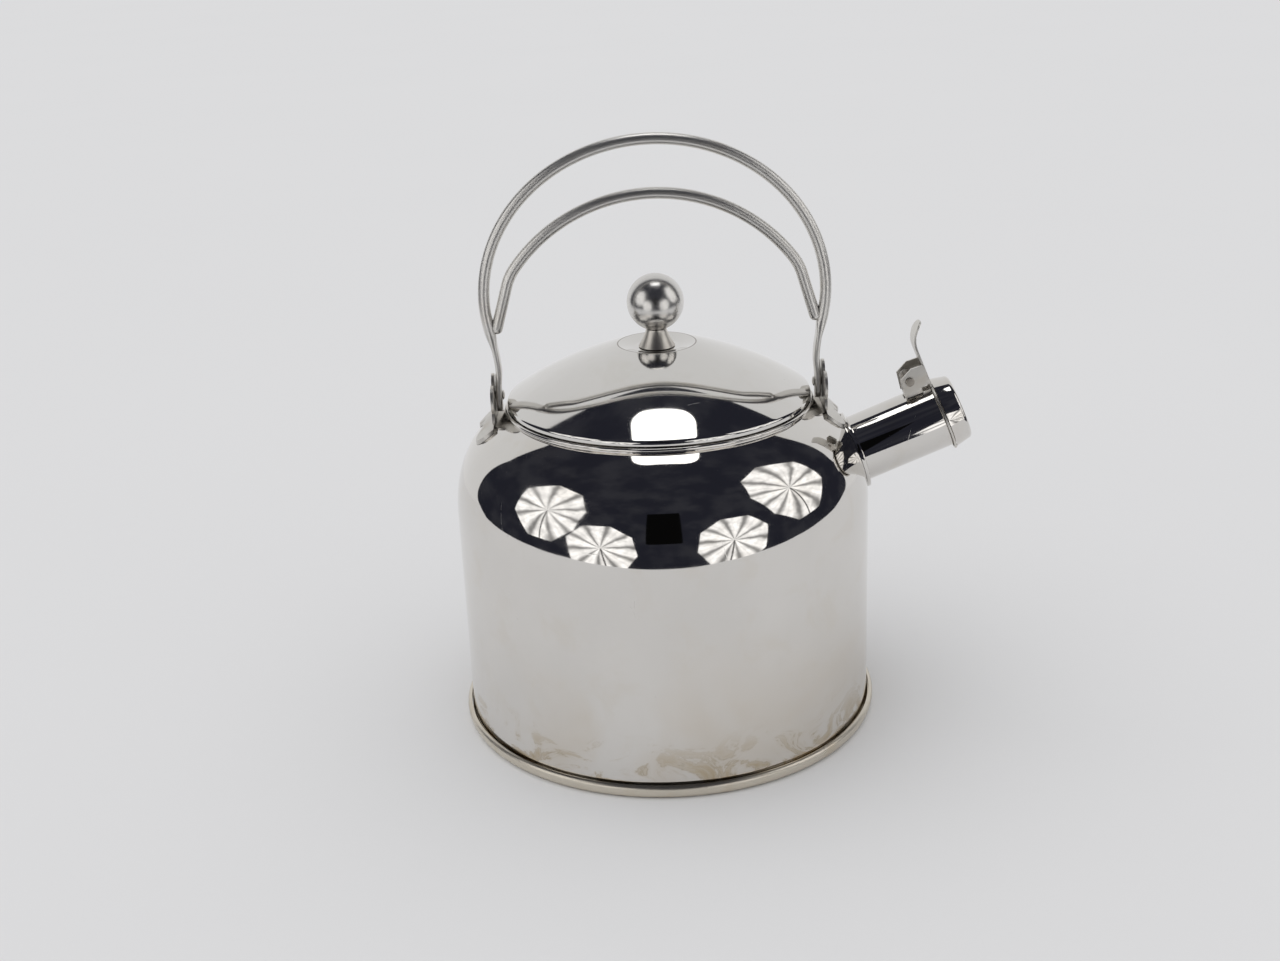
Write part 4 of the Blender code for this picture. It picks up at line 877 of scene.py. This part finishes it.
# The stamped pieces are darker in their hollows
stamped = steel("stamped_steel", (0.70, 0.68, 0.64), (0.54, 0.48, 0.40), 0.34, 0.12, 0.00001, hollow_dark=0.35)
lever_steel = steel("lever_steel", (0.74, 0.72, 0.68), (0.62, 0.56, 0.47), 0.36, 0.08, 0.00001)
drawn = steel("collar_steel", (0.62, 0.60, 0.56), (0.48, 0.42, 0.34), 0.18, 0.15)
fixing = steel("fixing_steel", (0.46, 0.43, 0.39), (0.32, 0.27, 0.21), 0.38, 0.12)


def dress(item, body, nodes, material, angle=32):
    item.data.materials.clear()
    item.data.materials.append(material)
    item.data.shade_smooth()
    item.data.set_sharp_from_angle(angle=math.radians(angle))
    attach(item, body)
    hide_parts(*nodes)
    return item


under = body_form("under", TRIM_GAP)
ear_over = body_form("ear_over", GAP + EAR_WALL)
flange_over = body_form("flange_over", GAP + FLANGE_WALL)

dress(body_shell(), "kettle", ["body_shell"], mirror_body)
dress(base_pan(), "kettle", ["base_pan"], base_metal)
dress(lid_shell(), "lid", ["lid_shell"], mirror_lid)
dress(lid_skirt(), "lid", ["lid_skirt"], drawn)
dress(knob_stem(), "lid", ["knob_stem"], bush_steel)
dress(knob_ball(), "lid", ["knob_ball"], mirror_knob)
dress(outer_arch_bar("outer_handle_wire"), "handle", ["handle_outer_arch"], wire, 50)
dress(inner_arch(), "handle", ["handle_inner_arch"], wire, 50)
dress(ear("front_ear", 0, under, ear_over), "kettle", ["ear_front"], stamped)
dress(ear("rear_ear", math.pi, under, ear_over), "kettle", ["ear_rear"], stamped)
dress(rivet("front_rivet", 0), "kettle", ["ear_rivet_front"], stamped)
dress(rivet("rear_rivet", math.pi), "kettle", ["ear_rivet_rear"], stamped)
dress(spout_tube(under), "kettle", ["spout_tube"], mirror_spout)
dress(spout_flange(under, flange_over), "kettle", ["spout_flange"], mirror_spout)
dress(hinge_bracket(), "kettle", ["hinge_bracket"], stamped)
dress(hinge_pin(), "kettle", ["hinge_pin"], fixing)
dress(cap_spring(), "kettle", ["cap_spring"], fixing, 60)
dress(cap_shell(), "cap", ["cap_shell"], mirror_spout)
dress(whistle_plate(), "cap", ["whistle_plate"], drawn)
dress(cap_lever(), "cap", ["cap_lever"], lever_steel)
discard(under, ear_over, flange_over)

for node in ("knob_screw", "knob_washer"):
    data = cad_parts[node].data
    data.materials.clear()
    data.materials.append(fixing)


def only_reflected(item):
    item.visible_camera = False
    item.visible_diffuse = False
    item.visible_shadow = False
    item.visible_transmission = False
    item.visible_volume_scatter = False
    return item


def plain_mesh(name, points, faces, material):
    mesh = bpy.data.meshes.new(name)
    mesh.from_pydata(points, [], faces)
    mesh.materials.append(material)
    item = bpy.data.objects.new(name, mesh)
    scene.collection.objects.link(item)
    return item


def glow(name, sampling="NONE"):
    """An emission material whose light reaches only what reflects it."""
    material = bpy.data.materials.new(name)
    material.use_nodes = True
    material.node_tree.nodes.clear()
    g = Graph(material)
    shader = g.nodes.new("ShaderNodeEmission")
    output = g.nodes.new("ShaderNodeOutputMaterial")
    g.link(shader.outputs[0], output.inputs[0])
    material.cycles.emission_sampling = sampling
    return material, g, shader


FLOOR = (0.80, 0.80, 0.806)
paper = bpy.data.materials.new("pale_paper")
paper.use_nodes = True
paper_shader = paper.node_tree.nodes["Principled BSDF"]
paper_shader.inputs["Roughness"].default_value = 1.0
paper_shader.inputs["Specular IOR Level"].default_value = 0.0
g = Graph(paper)
g.link(g.mix(g.noise(3, 3), FLOOR, tuple(c * 0.985 for c in FLOOR)), paper_shader.inputs["Base Color"])

FLOOR_REACH = 14
FLOOR_Z = -0.0001
floor_corners = [(x * FLOOR_REACH, y * FLOOR_REACH, FLOOR_Z) for x, y in ((-1, -1), (1, -1), (1, 1), (-1, 1))]
floor = plain_mesh("floor", floor_corners, [(0, 1, 2, 3)], paper)
floor.visible_glossy = False

edge = [
    (-1.05, 0.50), (-0.76, 0.22), (-0.68, -0.05), (-0.58, -0.22), (-0.42, -0.36), (-0.22, -0.425),
    (0.0, -0.44), (0.22, -0.43), (0.42, -0.36), (0.60, -0.24), (0.76, -0.06), (0.88, 0.14), (1.25, 0.50),
]
table = plain_mesh("table_reflection", [(x, y, 0) for x, y in edge], [tuple(range(len(edge)))], paper)
only_reflected(table)

backdrop_glow, g, shader = glow("backdrop_reflection_light")
_, _, z = g.height()
tone = g.mix(g.ramp(z, 0.0, 1.4), (0.76, 0.76, 0.765), (0.70, 0.70, 0.70))
g.link(tone, shader.inputs["Color"])
BACKDROP_LEFT = -1.05
BACKDROP_WIDTH = 2.30
BACKDROP_FOOT_Y = 0.50
BACKDROP_BEND = 0.12
BACKDROP_Y = 0.62
BACKDROP_TOP = 1.50
BACKDROP_SIDE_DROP = 0.95
BACKDROP_PEAK_SHARE = 0.46
points, faces = [], []
columns = 40
for column in range(columns + 1):
    share = column / columns
    x = BACKDROP_LEFT + BACKDROP_WIDTH * share
    side = abs(share - BACKDROP_PEAK_SHARE) / 0.54
    top = BACKDROP_TOP - BACKDROP_SIDE_DROP * side**2
    for k in range(9):
        angle = math.pi / 2 * k / 8
        y = BACKDROP_FOOT_Y + BACKDROP_BEND * math.sin(angle)
        points.append((x, y, BACKDROP_BEND * (1 - math.cos(angle))))
    points.append((x, BACKDROP_Y, top * 0.87))
    points.append((x, BACKDROP_Y, top))
rows = 11
for column in range(columns):
    for row in range(rows - 1):
        first = column * rows + row
        faces.append((first, first + 1, first + rows + 1, first + rows))
only_reflected(plain_mesh("backdrop_reflection", points, faces, backdrop_glow))

room_glow, g, shader = glow("dark_room_reflection_light")
patch = g.noise(0.9, 3, 0.5)
g.link(g.mix(g.ramp(patch, 0.4, 0.7), (0.018, 0.019, 0.028), (0.034, 0.035, 0.044)), shader.inputs["Color"])
bm = bmesh.new()
bmesh.ops.create_icosphere(bm, subdivisions=4, radius=5.0)
mesh = bpy.data.meshes.new("dark_room_reflection")
bm.to_mesh(mesh)
bm.free()
mesh.materials.append(room_glow)
room = bpy.data.objects.new("dark_room_reflection", mesh)
scene.collection.objects.link(room)
only_reflected(room)

umbrella_glow, g, shader = glow("umbrella_reflection_light", "FRONT_BACK")
x, y, _ = g.height()
turn = g.math("ARCTAN2", y, x)
wobble = g.math("MULTIPLY", g.math("SUBTRACT", g.noise(3.0, 3), 0.5), 1.6)
pleat = g.math("ABSOLUTE", g.math("SINE", g.math("ADD", g.math("MULTIPLY", turn, 5.0), wobble)))
fold = g.math("ADD", g.math("MULTIPLY", turn, 17.0), g.math("MULTIPLY", wobble, 3.0))
fine = g.math("ABSOLUTE", g.math("SINE", fold))
level = g.ramp(pleat, 0.05, 0.9, 0.38, 1.45)
level = g.math("MULTIPLY", level, g.ramp(fine, 0.0, 0.8, 0.88, 1.0))
level = g.math("MULTIPLY", level, g.ramp(g.noise(5.0, 4, 0.6), 0.3, 0.7, 0.75, 1.15))
narrow = g.ramp(g.math("ABSOLUTE", x), 0.010, 0.016, 1.0, 0.0)
stalk = g.math("MULTIPLY", narrow, g.ramp(y, -0.02, 0.0, 1.0, 0.0))
level = g.math("MULTIPLY", level, g.ramp(stalk, 0.0, 1.0, 1.0, 0.08, False))
g.link(level, shader.inputs["Strength"])
shader.inputs["Color"].default_value = (1.0, 0.99, 0.985, 1)


def umbrella(name, azimuth, elevation, distance, radius, tall, roll):
    """A pleated octagonal reflector that faces the kettle."""
    a, e = math.radians(azimuth), math.radians(elevation)
    away = Vector((math.sin(a) * math.cos(e), -math.cos(a) * math.cos(e), math.sin(e)))
    points = [(0, 0, 0)]
    for k in range(8):
        turn = math.tau * (k + 0.5) / 8
        points.append((radius * math.cos(turn), radius * tall * math.sin(turn), 0))
    item = plain_mesh(name, points, [(0, 1 + k, 1 + (k + 1) % 8) for k in range(8)], umbrella_glow)
    item.rotation_mode = "QUATERNION"
    rolled = Matrix.Rotation(math.radians(roll), 3, "Z").to_quaternion()
    item.rotation_quaternion = away.to_track_quat("Z", "Y") @ rolled
    item.location = Vector((0, -0.06, 0.12)) + away * distance
    return only_reflected(item)


umbrella("umbrella_far_left", -70.5, 21, 1.5, 0.58, 1.3, 0)
umbrella("umbrella_left", -35, -2, 1.5, 0.54, 1.1, 10)
umbrella("umbrella_right", 36, 0, 1.5, 0.56, 1.1, -8)
umbrella("umbrella_far_right", 81, 27, 1.5, 0.60, 1.4, 5)

soft_glow, g, shader = glow("overhead_reflection_light", "FRONT_BACK")
shader.inputs["Strength"].default_value = 2.2
centre_x, centre_y, height, half_x, half_y, corner = 0.0125, 0.012, 0.60, 0.10, 0.075, 0.045
outline = []
for side_x, side_y, start in ((1, 1, 0), (-1, 1, 90), (-1, -1, 180), (1, -1, 270)):
    for k in range(9):
        angle = math.radians(start + 90 * k / 8)
        x = centre_x + side_x * (half_x - corner) + corner * math.cos(angle)
        y = centre_y + side_y * (half_y - corner) + corner * math.sin(angle)
        outline.append((x, y, height))
only_reflected(plain_mesh("overhead_reflection", outline, [tuple(range(len(outline)))], soft_glow))

# The camera stands where the photograph was taken from
yaw, pitch, roll, turn = (math.radians(a) for a in (-0.84, 20.77, -2.44, -1.2))
forward = Vector((math.sin(yaw) * math.cos(pitch), math.cos(yaw) * math.cos(pitch), -math.sin(pitch)))
right = Vector((math.cos(yaw), -math.sin(yaw), 0))
up = right.cross(forward)
across = math.cos(roll) * right + math.sin(roll) * up
upward = -math.sin(roll) * right + math.cos(roll) * up
spin = Matrix.Rotation(turn, 3, "Z")
across, upward, forward = spin @ across, spin @ upward, spin @ forward
camera_place = Vector((-0.01425132, -0.68035076, 0.3668))
camera_data = bpy.data.cameras.new("camera")
camera_data.lens = 45.0
camera_data.sensor_width = 36.0
camera = bpy.data.objects.new("camera", camera_data)
scene.collection.objects.link(camera)
rows = [(across[i], upward[i], -forward[i], camera_place[i]) for i in range(3)]
camera.matrix_world = Matrix((*rows, (0, 0, 0, 1)))
scene.camera = camera

black, g, shader = glow("camera_body_reflection")
shader.inputs["Color"].default_value = (0.003, 0.003, 0.003, 1)
CAMERA_BODY_HALF = (0.105, 0.05, 0.19)
signs = [(x, y, z) for x in (-1, 1) for y in (-1, 1) for z in (-1, 1)]
corners = [tuple(sign * size for sign, size in zip(corner, CAMERA_BODY_HALF)) for corner in signs]
sides = [(0, 1, 3, 2), (4, 6, 7, 5), (0, 4, 5, 1), (2, 3, 7, 6), (0, 2, 6, 4), (1, 5, 7, 3)]
block = plain_mesh("camera_reflection", corners, sides, black)
block.location = camera_place + Vector((0, -0.03, -0.02))
only_reflected(block)


def sun(name, direction, spread, strength):
    data = bpy.data.lights.new(name, "SUN")
    data.angle = math.radians(spread)
    data.energy = strength
    item = bpy.data.objects.new(name, data)
    item.rotation_mode = "QUATERNION"
    item.rotation_quaternion = Vector(direction).to_track_quat("-Z", "Y")
    scene.collection.objects.link(item)
    item.visible_glossy = False
    return item


sun("soft_key", (0.55, 0.10, -1.0), 70, 0.50)

world = bpy.data.worlds.new("studio")
scene.world = world
world.use_nodes = True
background = world.node_tree.nodes["Background"]
background.inputs["Color"].default_value = (0.76, 0.76, 0.765, 1)
background.inputs["Strength"].default_value = 1.0
